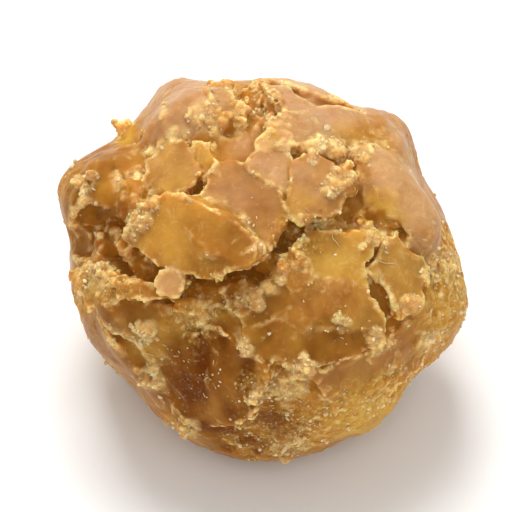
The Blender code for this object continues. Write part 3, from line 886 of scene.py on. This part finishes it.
# Softer changes: across, up, radius and amount.  The pink spots on the tops and on the shaded nub
# are partly painted light; the dark spots in the crevices and the slit are painted shade, and those
# low on the front partly painted shade.
SOFT_CASTS = {
    "pink": ((8, 25, 9, 0.9), (2, 20, 5, 0.6), (21, 13, 6, 0.4), (-12, 27, 7, 0.7), (-13.5, -1.5, 2.6, 1.0), (-3, -12.8, 1.6, 0.6)),
    "gold": (
        (-13.5, 13, 3, 0.7), (-10.8, 16.8, 1.4, 1.0), (18.5, 8.5, 4, 1.0), (14.5, 21, 3, 0.6),
        (5.5, 10, 3, 0.7), (11, 3, 6, 0.4), (1.5, 20.5, 2.5, 0.6), (-27, -3, 4, 0.5), (-10, -8, 5, 0.5),
        (-17, -11, 4, 0.6), (18, -23, 7, 0.7), (29, -4, 6, 0.5), (-8, -27, 4, 0.3), (-21.4, 21.8, 2.0, 1.0),
    ),
    "dark": (
        (-24, 7, 6, 0.7), (-18, -7.5, 4, 0.6), (-9, -17, 9, 1.0), (2, -8, 4, 0.5), (-3, -25, 8, 1.0), (4, -27, 5, 0.7),
        (8, 5, 4, 0.6), (-7, -2, 5, 0.7), (-2.5, 6, 4.5, 0.5), (18, -8, 2.5, 0.5), (-26, 16, 6, 0.55),
    ),
    "grey": ((-24, -12, 4, 0.6), (-19, -17, 4, 0.6), (-29, 2, 3, 0.4), (24, 1, 4, 0.5), (4, -27, 5, 0.3)),
}
CAST_NAMES = tuple(SOFT_CASTS)


def measure(points, out):
    """Rim: how much less than half a millimetre of sugar lies behind, mostly where it's crumbly.
    Hollow: how little open air lies ahead, near and far.  Casts: of the boulder or plate that the
    spot belongs to, then the soft ones."""
    strayed = stray(points)
    # Rim: thin convex edges, which the colour recipe paints paler, partly as painted light.
    thin = np.clip(1 + lump_distance(points - out * 0.55) / 0.55, 0, 1) * 2.2
    found = {"crumbly": crumbly_share(strayed)}
    pale = np.maximum(found["crumbly"], 0.6 * np.clip(noise(points, 6.0, 76) * 3, 0, 1))
    found["rim"] = thin * (0.66 + 0.34 * np.clip(pale, 0, 1))
    # Hollow: little open air ahead; the colour recipe paints shade and a glow from it.
    close = np.clip(1 - lump_distance(points + out * 1.2) / 1.2, 0, 1)
    far = np.clip(1 - lump_distance(points + out * 4.0) / 4.0, 0, 1)
    found["hollow"] = 0.5 * close + 1.1 * far - 0.05
    for shape in pebbles:
        who = near(shape, points)
        owned = np.clip(1.2 - 2.5 * np.abs(shape.distance(points[who])), 0, 1)
        found["crumbly"][who] = np.maximum(found["crumbly"][who], owned)
    found["grain"] = grained_share(strayed)
    casts = np.zeros((len(points), len(CAST_NAMES)), F)
    for name, shape in list(zip(LOBES, boulders)) + list(zip(PLATES, plates)):
        who = near(shape, points)
        owned = np.clip(1.2 - 2.5 * np.abs(shape.distance(points[who])), 0, 1)[:, None]
        casts[who] += owned * (np.array(CASTS[name], F) - casts[who])
    for index, name in enumerate(CAST_NAMES):
        found[name] = np.maximum(casts[:, index], bells(strayed, SOFT_CASTS[name]))
    streak = noise(points * np.array([1.0, 0.3, 0.8], F), 2.2, 77)
    found["dark"] = found["dark"] * (0.85 + 0.5 * streak)
    return {name: np.clip(value, 0, 1).astype(F) for name, value in found.items()}


masks = measure(skin, out_of_skin)
print({name: float(value.mean().round(2)) for name, value in masks.items()})


# %% The lump as a piece
def new_piece(name, points, quads, numbers, smooth=True):
    """A mesh in scene metres from points and four-cornered faces, with numbers on its vertices."""
    mesh = bpy.data.meshes.new(name)
    mesh.vertices.add(len(points))
    mesh.vertices.foreach_set("co", to_world(points.astype(float)).ravel())
    mesh.loops.add(quads.size)
    mesh.loops.foreach_set("vertex_index", quads.ravel().astype(np.int32))
    mesh.polygons.add(len(quads))
    mesh.polygons.foreach_set("loop_start", np.arange(0, quads.size, 4, dtype=np.int32))
    mesh.update(calc_edges=True)
    for label, values in numbers.items():
        mesh.attributes.new(label, "FLOAT", "POINT").data.foreach_set("value", values)
    mesh.polygons.foreach_set("use_smooth", np.full(len(quads), smooth))
    piece = bpy.data.objects.new(name, mesh)
    bpy.context.scene.collection.objects.link(piece)
    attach(piece, "root")
    print(name, "-", 2 * len(quads), "triangles")
    return piece


MOST_TRIANGLES = 196000
lump = new_piece("lump", skin, skin_faces, masks)
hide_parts("jaggery_lump")
thinned = lump.modifiers.new("fewer triangles where it is plain", "DECIMATE")
thinned.ratio = min(1.0, MOST_TRIANGLES / (2 * len(skin_faces)))
graph = bpy.context.evaluated_depsgraph_get()
full_mesh = lump.data
lump.data = bpy.data.meshes.new_from_object(lump.evaluated_get(graph))
lump.modifiers.clear()
bpy.data.meshes.remove(full_mesh)
lump.data.name = "lump"
print("thinned to", sum(len(face.vertices) - 2 for face in lump.data.polygons), "triangles")

# %% [markdown]
# ## Crumbs
#
# Crumbs lie wherever the lump broke or grained.  Each is a small ball, pushed in and out at its
# corners and stretched its own way; a flake is the same ball pressed flat.  They sit on vertices
# of the skin, picked at random but more often where crumbs gather, and take on the numbers of
# their spot, so that a crumb in a crevice carries the crevice's painted shade.

# %% Small shapes in great numbers
scatter_chance = np.random.default_rng(7)


def ball_grid(cuts):
    """A cube's six faces cut into grids and pushed out to a ball, with shared points made one."""
    steps = np.tan(np.linspace(-1, 1, cuts + 1) * math.pi / 4)
    a, b = np.meshgrid(steps, steps, indexing="ij")
    points = []
    for axis in range(3):
        for side in (-1, 1):
            face = np.empty(a.shape + (3,))
            face[..., axis], face[..., (axis + 1) % 3], face[..., (axis + 2) % 3] = side, side * a, b
            points.append(face.reshape(-1, 3))
    points = np.concatenate(points)
    number = np.arange(len(points)).reshape(6, cuts + 1, cuts + 1)
    quads = np.stack([number[:, :-1, :-1], number[:, 1:, :-1], number[:, 1:, 1:], number[:, :-1, 1:]], -1)
    points, index = np.unique(points.round(6), axis=0, return_inverse=True)
    points /= np.linalg.norm(points, axis=1)[:, None]
    return points, index.reshape(-1)[quads.reshape(-1, 4)]


def frames_on(out, chance):
    """For each outward direction, three axes: two at a random turn in the surface, and out."""
    start = chance.normal(size=out.shape)
    first = start - (start * out).sum(axis=1)[:, None] * out
    first /= np.linalg.norm(first, axis=1)[:, None]
    return np.stack([first, np.cross(out, first), out], axis=1)


def pick(weights, count, chance):
    """Vertices of the skin, each picked by its weight, and none near the resting spot."""
    high = np.clip(height_above_ground(skin) / 1.5 - 0.8, 0, 1)
    share = weights * high
    return chance.choice(len(skin), count, replace=False, p=share / share.sum())


def copies(base, quads, hosts, sizes, lift, uneven, chance):
    """The base shape once per host: swollen and dented by noise taken at a place of its own,
    stretched by three sizes, turned to the host's surface and lifted by a share of its height."""
    axes = frames_on(out_of_skin[hosts].astype(float), chance)
    apart = (base[None] + chance.uniform(0, 400, (len(hosts), 1, 3))).reshape(-1, 3)
    push = 1 + uneven * noise(apart, 0.9, 78).reshape(len(hosts), len(base), 1)
    shape = base[None] * push * sizes[:, None]
    points = np.einsum("nvi,nij->nvj", shape, axes) + skin[hosts][:, None]
    points += (out_of_skin[hosts] * (sizes[:, 2] * lift)[:, None])[:, None]
    faces = quads[None] + (np.arange(len(hosts)) * len(base))[:, None, None]
    return points.reshape(-1, 3), faces.reshape(-1, 4)


def numbers_of(hosts, each, chance):
    """The hosts' masks, and a shade of its own for each copy, spread over the copy's vertices."""
    found = {name: np.repeat(values[hosts], each) for name, values in masks.items()}
    found["shade"] = np.repeat(chance.random(len(hosts)).astype(F), each)
    return found


coarse_ball, coarse_quads = ball_grid(2)
fine_ball, fine_quads = ball_grid(3)
print("a crumb has", len(coarse_quads), "faces, a nugget", len(fine_quads))

# %% Crumbs on rims and in rough patches
# Spots with fine bright bits, whose pale crumbs and slivers partly stand in for glints as painted
# highlights: across, up, radius and amount.
SHREDS = (
    (-2, 8, 5.0, 0.7), (-5, 5, 3.0, 0.9), (-1, 4, 3.0, 1.0), (4, 3, 3.0, 1.0), (9, 4, 3.0, 0.6), (12, -8, 3.0, 1.2),
    (11, -14, 2.0, 1.0), (7, -5, 3.0, 0.5), (16, 14, 2.0, 1.0), (19, 11, 2.0, 0.8), (-9, 24, 3.0, 0.6),
    (-13, -13, 3.5, 1.0), (-9, -17, 4.0, 0.9), (-4, -20, 3.5, 0.8), (0, -19, 3.0, 0.9), (5, -20, 3.5, 1.0),
    (-14, -20, 3.0, 0.7), (2, -26, 4.0, 0.8), (-26, 11, 3.0, 0.7), (-25, 6, 3.0, 0.4), (0, 23, 4.0, 0.3),
    (-22.5, 10.5, 1.6, 1.2), (-14, 24.5, 1.4, 1.2), (-10.5, 25.5, 1.2, 1.2), (-21.5, 17, 1.2, 0.8), (-7.5, 15.5, 1.2, 0.9),
    (9, 19.5, 2.5, 0.7), (17, -21, 3.0, 0.3), (-4, -3, 3.0, 0.7), (-10, -6, 3.0, 0.4), (23, -9, 3.0, 0.3),
)


def crumb_weight(crumbly, rim, grain):
    """How often crumbs gather on crumbly spots, on rims and on grained ones."""
    return crumbly * masks["crumbly"] ** 2 + rim * masks["rim"] ** 2 + grain * masks["grain"] ** 2 + 0.002


shred_share = bells(stray(skin), SHREDS)
crumb_hosts = pick(crumb_weight(0.5, 0.15, 0.12) + 0.1 * shred_share**2, 3000, scatter_chance)
radius = 0.12 * np.exp(0.55 * scatter_chance.normal(size=len(crumb_hosts))).clip(0.5, 2.6)
stretch = scatter_chance.uniform(0.6, 1.4, (len(crumb_hosts), 3))
crumb_points, crumb_faces = copies(
    coarse_ball, coarse_quads, crumb_hosts, radius[:, None] * stretch, 0.3, 0.5, scatter_chance
)
crumbs = new_piece(
    "crumbs", crumb_points, crumb_faces, numbers_of(crumb_hosts, len(coarse_ball), scatter_chance), smooth=False
)

# %% Nuggets: the larger rounded crumbs
nugget_hosts = pick(masks["crumbly"] ** 2 + 0.0003, 260, scatter_chance)
radius = scatter_chance.uniform(0.18, 0.4, len(nugget_hosts))
stretch = scatter_chance.uniform(0.6, 1.3, (len(nugget_hosts), 3))
nugget_points, nugget_faces = copies(
    fine_ball, fine_quads, nugget_hosts, radius[:, None] * stretch, -0.2, 0.8, scatter_chance
)
nuggets = new_piece(
    "nuggets", nugget_points, nugget_faces, numbers_of(nugget_hosts, len(fine_ball), scatter_chance)
)

# %% Flakes: thin chips lying on the surface
flake_hosts = pick(crumb_weight(0.3, 0.1, 0.05) + 0.01, 260, scatter_chance)
width = scatter_chance.uniform(0.2, 0.6, len(flake_hosts))
narrow = scatter_chance.uniform(0.4, 0.9, len(flake_hosts))
thick = scatter_chance.uniform(0.05, 0.1, len(flake_hosts))
flake_points, flake_faces = copies(
    coarse_ball, coarse_quads, flake_hosts, np.stack([width, width * narrow, thick], 1), 0.9, 0.6, scatter_chance
)
flakes = new_piece(
    "flakes", flake_points, flake_faces, numbers_of(flake_hosts, len(coarse_ball), scatter_chance), smooth=False
)

# %% [markdown]
# ## Shreds
#
# Where a knife or a thumb scraped it, the wax curled into shreds: short bent slivers that
# glisten, partly by their gloss and partly by a painted highlight in their pale colour, and a few
# long hairs.  Each is a path that bends at a steady rate, laid on the skin and given four sides.

# %% Slivers and hairs laid on the skin
PATH_STEPS = 9


def laid_on_skin(points, lift):
    """Steps down the slope until the distance is the lift."""
    for _ in range(3):
        way = slope(points)
        steep = np.maximum((way * way).sum(axis=1), 0.3)
        points = points - way * np.clip((lump_distance(points) - lift) / steep, -0.6, 0.6)[:, None]
    return points


def slivers(places, axes, lengths, thick, bends):
    """Headings that grow steadily along each path, summed to places in the surface, laid on the
    skin; then four corners around each place, thinner towards both ends."""
    share = np.linspace(-0.5, 0.5, PATH_STEPS)
    heading = bends[:, None] * share + 0.3 * bends[:, None] * np.sin(9 * share + bends[:, None])
    step = (lengths / (PATH_STEPS - 1))[:, None]
    along = np.cumsum(step * np.cos(heading), axis=1)
    aside = np.cumsum(step * np.sin(heading), axis=1)
    along -= along.mean(axis=1)[:, None]
    aside -= aside.mean(axis=1)[:, None]
    path = along[..., None] * axes[:, None, 0] + aside[..., None] * axes[:, None, 1] + places[:, None]
    lift = np.repeat(thick * 0.8, PATH_STEPS)
    path = laid_on_skin(path.reshape(-1, 3).astype(F), lift.astype(F)).reshape(-1, PATH_STEPS, 3)
    run = np.gradient(path, axis=1)
    run /= np.linalg.norm(run, axis=2)[..., None] + 1e-6
    across = np.cross(run, axes[:, None, 2])
    across /= np.linalg.norm(across, axis=2)[..., None] + 1e-6
    up = np.cross(across, run)
    wide = thick[:, None] * np.sqrt(1.04 - (2 * share) ** 2)
    turns = np.arange(4) * math.pi / 2
    corner = np.cos(turns)[:, None] * across[..., None, :] + 0.8 * np.sin(turns)[:, None] * up[..., None, :]
    points = path[:, :, None] + corner * wide[..., None, None]
    ring = np.arange(PATH_STEPS * 4).reshape(PATH_STEPS, 4)
    following = np.roll(ring, -1, axis=1)
    sides = np.stack([ring[:-1], following[:-1], following[1:], ring[1:]], -1).reshape(-1, 4)
    quads = np.concatenate([sides, ring[:1, ::-1], ring[-1:]])
    faces = quads[None] + (np.arange(len(places)) * PATH_STEPS * 4)[:, None, None]
    return points.reshape(-1, 3), faces.reshape(-1, 4)


SLIVERS = 80
sliver_hosts = pick(shred_share**2 + 0.03 * masks["crumbly"] + 0.003, SLIVERS, scatter_chance)
sliver_axes = frames_on(out_of_skin[sliver_hosts].astype(float), scatter_chance)
sliver_lengths = scatter_chance.uniform(0.4, 1.2, SLIVERS)
sliver_widths = scatter_chance.uniform(0.07, 0.12, SLIVERS)
sliver_bends = scatter_chance.normal(0, 3.5, SLIVERS)

# The long hairs, by name of the place they cross: both ends (across, up) and bend.
HAIRS = {
    "top of the big plate": (10.9, 5.9, 12.3, 3.2, 0.9),
    "from plate to plate": (17.0, 1.9, 22.0, 1.0, 0.5),
    "down the slit": (18.5, -0.3, 19.5, -3.2, 0.8),
    "over the band": (-18.5, -12.8, -15.5, -13.4, 0.3),
}
hair_ends = np.array(list(HAIRS.values()))
hair_places = dropped((hair_ends[:, :2] + hair_ends[:, 2:4]) / 2)
hair_hosts = np.array([((skin - place) ** 2).sum(axis=1).argmin() for place in hair_places])
hair_out = out_of_skin[hair_hosts].astype(float)
hair_run = np.column_stack([hair_ends[:, 2:4] - hair_ends[:, :2], np.zeros(len(HAIRS))])
hair_lengths = np.linalg.norm(hair_run, axis=1)
hair_run -= (hair_run * hair_out).sum(axis=1)[:, None] * hair_out
hair_run /= np.linalg.norm(hair_run, axis=1)[:, None]
hair_axes = np.stack([hair_run, np.cross(hair_out, hair_run), hair_out], axis=1)

shred_hosts = np.concatenate([sliver_hosts, hair_hosts])
sliver_points, sliver_faces = slivers(
    skin[shred_hosts],
    np.concatenate([sliver_axes, hair_axes]),
    np.concatenate([sliver_lengths, hair_lengths]),
    np.concatenate([sliver_widths, np.full(len(HAIRS), 0.09)]),
    np.concatenate([sliver_bends, hair_ends[:, 4]]),
)
slivers_piece = new_piece(
    "slivers", sliver_points, sliver_faces, numbers_of(shred_hosts, PATH_STEPS * 4, scatter_chance)
)

# %% [markdown]
# ## Finishes
#
# One colour recipe serves the lump and everything that fell from it.  It starts from amber and
# moves towards pink tan, gold, deep amber or grey by the numbers on the vertices; pink tan and deep
# amber carry some painted light and shade.  Hollows go redder as painted shade and glow as painted
# light, rims go paler partly as painted light, grained patches go paler, and fine clouds break it all
# up.

# %% Node helpers
AMBER = (0.475, 0.208, 0.024, 1)
PINK_TAN = (0.56, 0.335, 0.175, 1)
GOLD = (0.66, 0.390, 0.050, 1)
DEEP_AMBER = (0.160, 0.038, 0.001, 1)
GREY_BROWN = (0.300, 0.160, 0.052, 1)
PAINTED_SHADE_RED_BROWN = (0.300, 0.110, 0.012, 1)
CREAM = (0.84, 0.610, 0.260, 1)
OCHRE = (0.60, 0.355, 0.070, 1)


def add_node(tree, kind, inputs=(), **settings):
    """A node with its settings; each input takes a socket to link or a value to hold."""
    made = tree.nodes.new("ShaderNode" + kind)
    for key, value in settings.items():
        setattr(made, key, value)
    for key, value in dict(inputs).items():
        if isinstance(value, bpy.types.NodeSocket):
            tree.links.new(value, made.inputs[key])
        else:
            made.inputs[key].default_value = value
    return made


def math_node(tree, operation, one, other):
    return add_node(tree, "Math", {0: one, 1: other}, operation=operation, use_clamp=True).outputs[0]


def mixed(tree, share, one, other, blend="MIX"):
    made = add_node(tree, "Mix", {0: share, 6: one, 7: other}, data_type="RGBA", blend_type=blend)
    return made.outputs[2]


def new_group(name, inputs, outputs):
    """A shader group with named sockets; returns its tree and its two end nodes."""
    group = bpy.data.node_groups.new(name, "ShaderNodeTree")
    for label, kind in inputs:
        group.interface.new_socket(label, in_out="INPUT", socket_type="NodeSocket" + kind)
    for label, kind in outputs:
        group.interface.new_socket(label, in_out="OUTPUT", socket_type="NodeSocket" + kind)
    return group, group.nodes.new("NodeGroupInput"), group.nodes.new("NodeGroupOutput")


# %% Clouds and grain
clouds, ends_in, ends_out = new_group(
    "sugar clouds", [("Vector", "Vector")], [("Cloud", "Float"), ("Vein", "Float"), ("Speck", "Float"), ("Grain", "Float")]
)
place = ends_in.outputs["Vector"]
cloud = add_node(clouds, "TexNoise", {"Vector": place, "Scale": 240.0, "Detail": 4.0, "Roughness": 0.6})
vein = add_node(
    clouds, "TexNoise", {"Vector": place, "Scale": 700.0, "Detail": 4.0, "Roughness": 0.65, "Distortion": 1.2}
)
speck = add_node(clouds, "TexVoronoi", {"Vector": place, "Scale": 1500.0})
grain = add_node(clouds, "TexNoise", {"Vector": place, "Scale": 2400.0, "Detail": 3.0, "Roughness": 0.7})


def ramped(tree, value, low, high, low_out=0.0, high_out=1.0):
    return add_node(
        tree, "MapRange", {"Value": value, "From Min": low, "From Max": high, "To Min": low_out, "To Max": high_out}
    ).outputs[0]


clouds.links.new(ramped(clouds, cloud.outputs[0], 0.32, 0.68), ends_out.inputs["Cloud"])
clouds.links.new(ramped(clouds, vein.outputs[0], 0.42, 0.66), ends_out.inputs["Vein"])
clouds.links.new(ramped(clouds, speck.outputs["Distance"], 0.42, 0.12), ends_out.inputs["Speck"])
clouds.links.new(grain.outputs[0], ends_out.inputs["Grain"])

# %% The colour recipe
MASKS = ("pink", "gold", "dark", "grey", "hollow", "rim", "grain", "crumbly")
recipe, ends_in, ends_out = new_group(
    "sugar colour",
    [(name.capitalize(), "Float") for name in MASKS + ("cloud", "vein", "speck")],
    [("Color", "Color")],
)
numbers = ends_in.outputs
# Pink tan: partly the sugar's own tone, partly painted light on the tops and on spots in shade.
colour = mixed(recipe, ramped(recipe, numbers["Pink"], 0.0, 1.0), AMBER, PINK_TAN)
colour = mixed(recipe, ramped(recipe, numbers["Gold"], 0.0, 1.0, 0.0, 0.9), colour, GOLD)
# Deep amber: partly the sugar's own tone, partly painted shade in crevices and low on the front.
colour = mixed(recipe, ramped(recipe, numbers["Dark"], 0.0, 1.0, 0.0, 0.95), colour, DEEP_AMBER)
colour = mixed(recipe, ramped(recipe, numbers["Grey"], 0.0, 1.0, 0.0, 0.9), colour, GREY_BROWN)
deeper = mixed(recipe, 1.0, colour, (0.74, 0.62, 0.46, 1), "MULTIPLY")
colour = mixed(recipe, numbers["Cloud"], deeper, colour)
milky = mixed(recipe, 0.35, colour, CREAM)
clear = math_node(recipe, "SUBTRACT", ramped(recipe, numbers["Vein"], 0.45, 1.0, 0.0, 0.5), numbers["Dark"])
colour = mixed(recipe, clear, colour, milky)
grained = math_node(recipe, "MULTIPLY", numbers["Grain"], numbers["Vein"])
light_grain = math_node(recipe, "MULTIPLY", grained, ramped(recipe, numbers["Dark"], 0.0, 1.0, 0.65, 0.25))
colour = mixed(recipe, light_grain, colour, OCHRE)
# Painted shade: hollows go red-brown, the more so the less open air lies ahead.
colour = mixed(recipe, ramped(recipe, numbers["Hollow"], 0.2, 0.85, 0.0, 0.65), colour, PAINTED_SHADE_RED_BROWN)
# Rims go cream: partly the pale crumbly sugar, partly painted light through thin edges.
pale = math_node(recipe, "MULTIPLY", ramped(recipe, numbers["Rim"], 0.15, 0.9), ramped(recipe, numbers["Vein"], 0.0, 0.7, 0.35, 1.0))
colour = mixed(recipe, ramped(recipe, pale, 0.0, 1.0, 0.0, 0.9), colour, CREAM)
crumbled = math_node(recipe, "MULTIPLY", numbers["Crumbly"], ramped(recipe, numbers["Vein"], 0.0, 1.0, 0.6, 1.0))
colour = mixed(recipe, ramped(recipe, crumbled, 0.1, 1.0, 0.0, 0.7), colour, CREAM)
frosted = math_node(recipe, "MULTIPLY", numbers["Speck"], grained)
colour = mixed(recipe, ramped(recipe, frosted, 0.0, 1.0, 0.0, 0.7), colour, CREAM)
recipe.links.new(colour, ends_out.inputs["Color"])


# %% The materials
def new_material(name):
    material = bpy.data.materials.new(name)
    material.use_nodes = True
    return material, material.node_tree, material.node_tree.nodes["Principled BSDF"]


def sugar_inputs(tree):
    """The clouds at this place, and the colour that the recipe gives for the vertex numbers."""
    where = add_node(tree, "TexCoord").outputs["Object"]
    cloudy = add_node(tree, "Group", node_tree=clouds)
    tree.links.new(where, cloudy.inputs["Vector"])
    cooked = add_node(tree, "Group", node_tree=recipe)
    read = {name: add_node(tree, "Attribute", attribute_name=name).outputs["Fac"] for name in MASKS}
    for name, socket in read.items():
        tree.links.new(socket, cooked.inputs[name.capitalize()])
    for name in ("Cloud", "Vein", "Speck"):
        tree.links.new(cloudy.outputs[name], cooked.inputs[name])
    return cloudy, cooked.outputs["Color"], read


wax, tree, shader = new_material("jaggery wax")
cloudy, sugar, read = sugar_inputs(tree)
tree.links.new(sugar, shader.inputs["Base Color"])
dull = math_node(tree, "MAXIMUM", read["grain"], read["rim"])
tree.links.new(ramped(tree, dull, 0.0, 1.0, 0.34, 0.7), shader.inputs["Roughness"])
shader.inputs["Subsurface Weight"].default_value = 0.8
shade_of_air = math_node(tree, "MAXIMUM", read["hollow"], read["dark"])
tree.links.new(ramped(tree, shade_of_air, 0.0, 0.7, 0.16, 0.04), shader.inputs["Specular IOR Level"])
shader.inputs["Subsurface Radius"].default_value = (1.0, 0.42, 0.12)
shader.inputs["Subsurface Scale"].default_value = 0.004
# Painted glow: hollows give off a weak red-amber light of their own, for light that comes through the sugar.
painted_glow = mixed(tree, ramped(tree, read["hollow"], 0.25, 0.9), (0, 0, 0, 1), (0.48, 0.17, 0.012, 1))
tree.links.new(painted_glow, shader.inputs["Emission Color"])
shader.inputs["Emission Strength"].default_value = 0.09
rough_share = math_node(tree, "MAXIMUM", read["grain"], read["dark"])
glint = math_node(tree, "MULTIPLY", rough_share, cloudy.outputs["Speck"])
tree.links.new(ramped(tree, glint, 0.3, 0.7, 0.0, 0.9), shader.inputs["Coat Weight"])
shader.inputs["Coat Roughness"].default_value = 0.15
relief = math_node(tree, "MULTIPLY", cloudy.outputs["Grain"], ramped(tree, read["grain"], 0.0, 1.0, 0.4, 1.0))
bump = add_node(tree, "Bump", {"Height": relief, "Strength": 0.5, "Distance": 0.0003})
tree.links.new(bump.outputs[0], shader.inputs["Normal"])
lump.data.materials.append(wax)


def crumb_material(name, light, lightest, roughness, translucent, coat):
    """The lump's colour moved towards two paler ones, the more so the higher the copy's shade."""
    material, tree, shader = new_material(name)
    cloudy, sugar, read = sugar_inputs(tree)
    shade = add_node(tree, "Attribute", attribute_name="shade").outputs["Fac"]
    pale = mixed(tree, shade, light, lightest)
    # Crumbs in hollows keep more of the lump's colour there, and with it its painted shade.
    keep = ramped(tree, read["hollow"], 0.2, 0.8, 0.8, 0.25)
    colour = mixed(tree, math_node(tree, "MULTIPLY", keep, ramped(tree, shade, 0.0, 1.0, 0.6, 1.0)), sugar, pale)
    tree.links.new(colour, shader.inputs["Base Color"])
    shader.inputs["Roughness"].default_value = roughness
    shader.inputs["Subsurface Weight"].default_value = translucent
    shader.inputs["Subsurface Radius"].default_value = (1.0, 0.55, 0.25)
    shader.inputs["Subsurface Scale"].default_value = 0.0012
    shader.inputs["Coat Weight"].default_value = coat
    shader.inputs["Coat Roughness"].default_value = 0.12
    return material


crumbs.data.materials.append(crumb_material("dry crumb", (0.72, 0.46, 0.16, 1), (0.92, 0.78, 0.52, 1), 0.6, 0.3, 0.0))
nuggets.data.materials.append(crumb_material("waxy nugget", (0.55, 0.32, 0.09, 1), (0.70, 0.47, 0.20, 1), 0.35, 0.6, 0.3))
flakes.data.materials.append(crumb_material("dry flake", OCHRE, (0.78, 0.56, 0.28, 1), 0.45, 0.4, 0.2))
# The slivers' pale colour is partly a painted highlight, standing in for glints beside their real gloss.
slivers_piece.data.materials.append(
    crumb_material("shiny sliver", (0.75, 0.50, 0.18, 1), (0.92, 0.76, 0.46, 1), 0.2, 0.3, 0.6)
)
print("materials:", [material.name for material in bpy.data.materials])

# %% [markdown]
# ## The stage
#
# A plain near-white floor, a broad light from above and behind, a weak one in front and an even
# sky, looked at square on to the broken face from far away.


# %% Floor, lights and camera
def look(thing, place, target):
    """Puts a light or a camera at a place, facing a target, both in scene metres."""
    thing.location = place
    thing.rotation_euler = (Vector(target) - Vector(place)).to_track_quat("-Z", "Y").to_euler()
    bpy.context.scene.collection.objects.link(thing)


bpy.ops.mesh.primitive_plane_add(size=3.0)
floor = bpy.context.object
floor.name = "floor"
paper, _, shader = new_material("plain floor")
shader.inputs["Base Color"].default_value = (0.88, 0.88, 0.88, 1)
shader.inputs["Roughness"].default_value = 0.9
floor.data.materials.append(paper)


def add_area_light(name, place, width, power):
    light = bpy.data.lights.new(name, "AREA")
    light.size, light.energy = width, power
    look(bpy.data.objects.new(name, light), place, (0, 0, 0.025))


add_area_light("top light", (-0.06, 0.20, 0.60), 0.30, 3.45)
add_area_light("front light", (0.10, -0.45, 0.55), 0.40, 1.15)

sky = bpy.data.worlds.new("even sky")
sky.use_nodes = True
sky.node_tree.nodes["Background"].inputs["Color"].default_value = (1, 0.98, 0.94, 1)
sky.node_tree.nodes["Background"].inputs["Strength"].default_value = 0.58
bpy.context.scene.world = sky

LENS = 400.0
SENSOR = 36.0
VIEW_WIDTH = 81.8 * MM
AIM = np.array([-0.6, 2.24, 0.0])
lens = bpy.data.cameras.new("camera")
lens.lens, lens.sensor_width, lens.clip_start = LENS, SENSOR, 0.01
camera = bpy.data.objects.new("camera", lens)
aim = to_world(AIM[None])[0]
look(camera, Vector(aim + FACE_AXES[2] * VIEW_WIDTH / SENSOR * LENS), aim)
bpy.context.scene.camera = camera
bpy.context.scene.view_settings.view_transform = "Standard"
print("camera", np.round(np.linalg.norm(np.array(camera.location) - aim), 2), "m away")
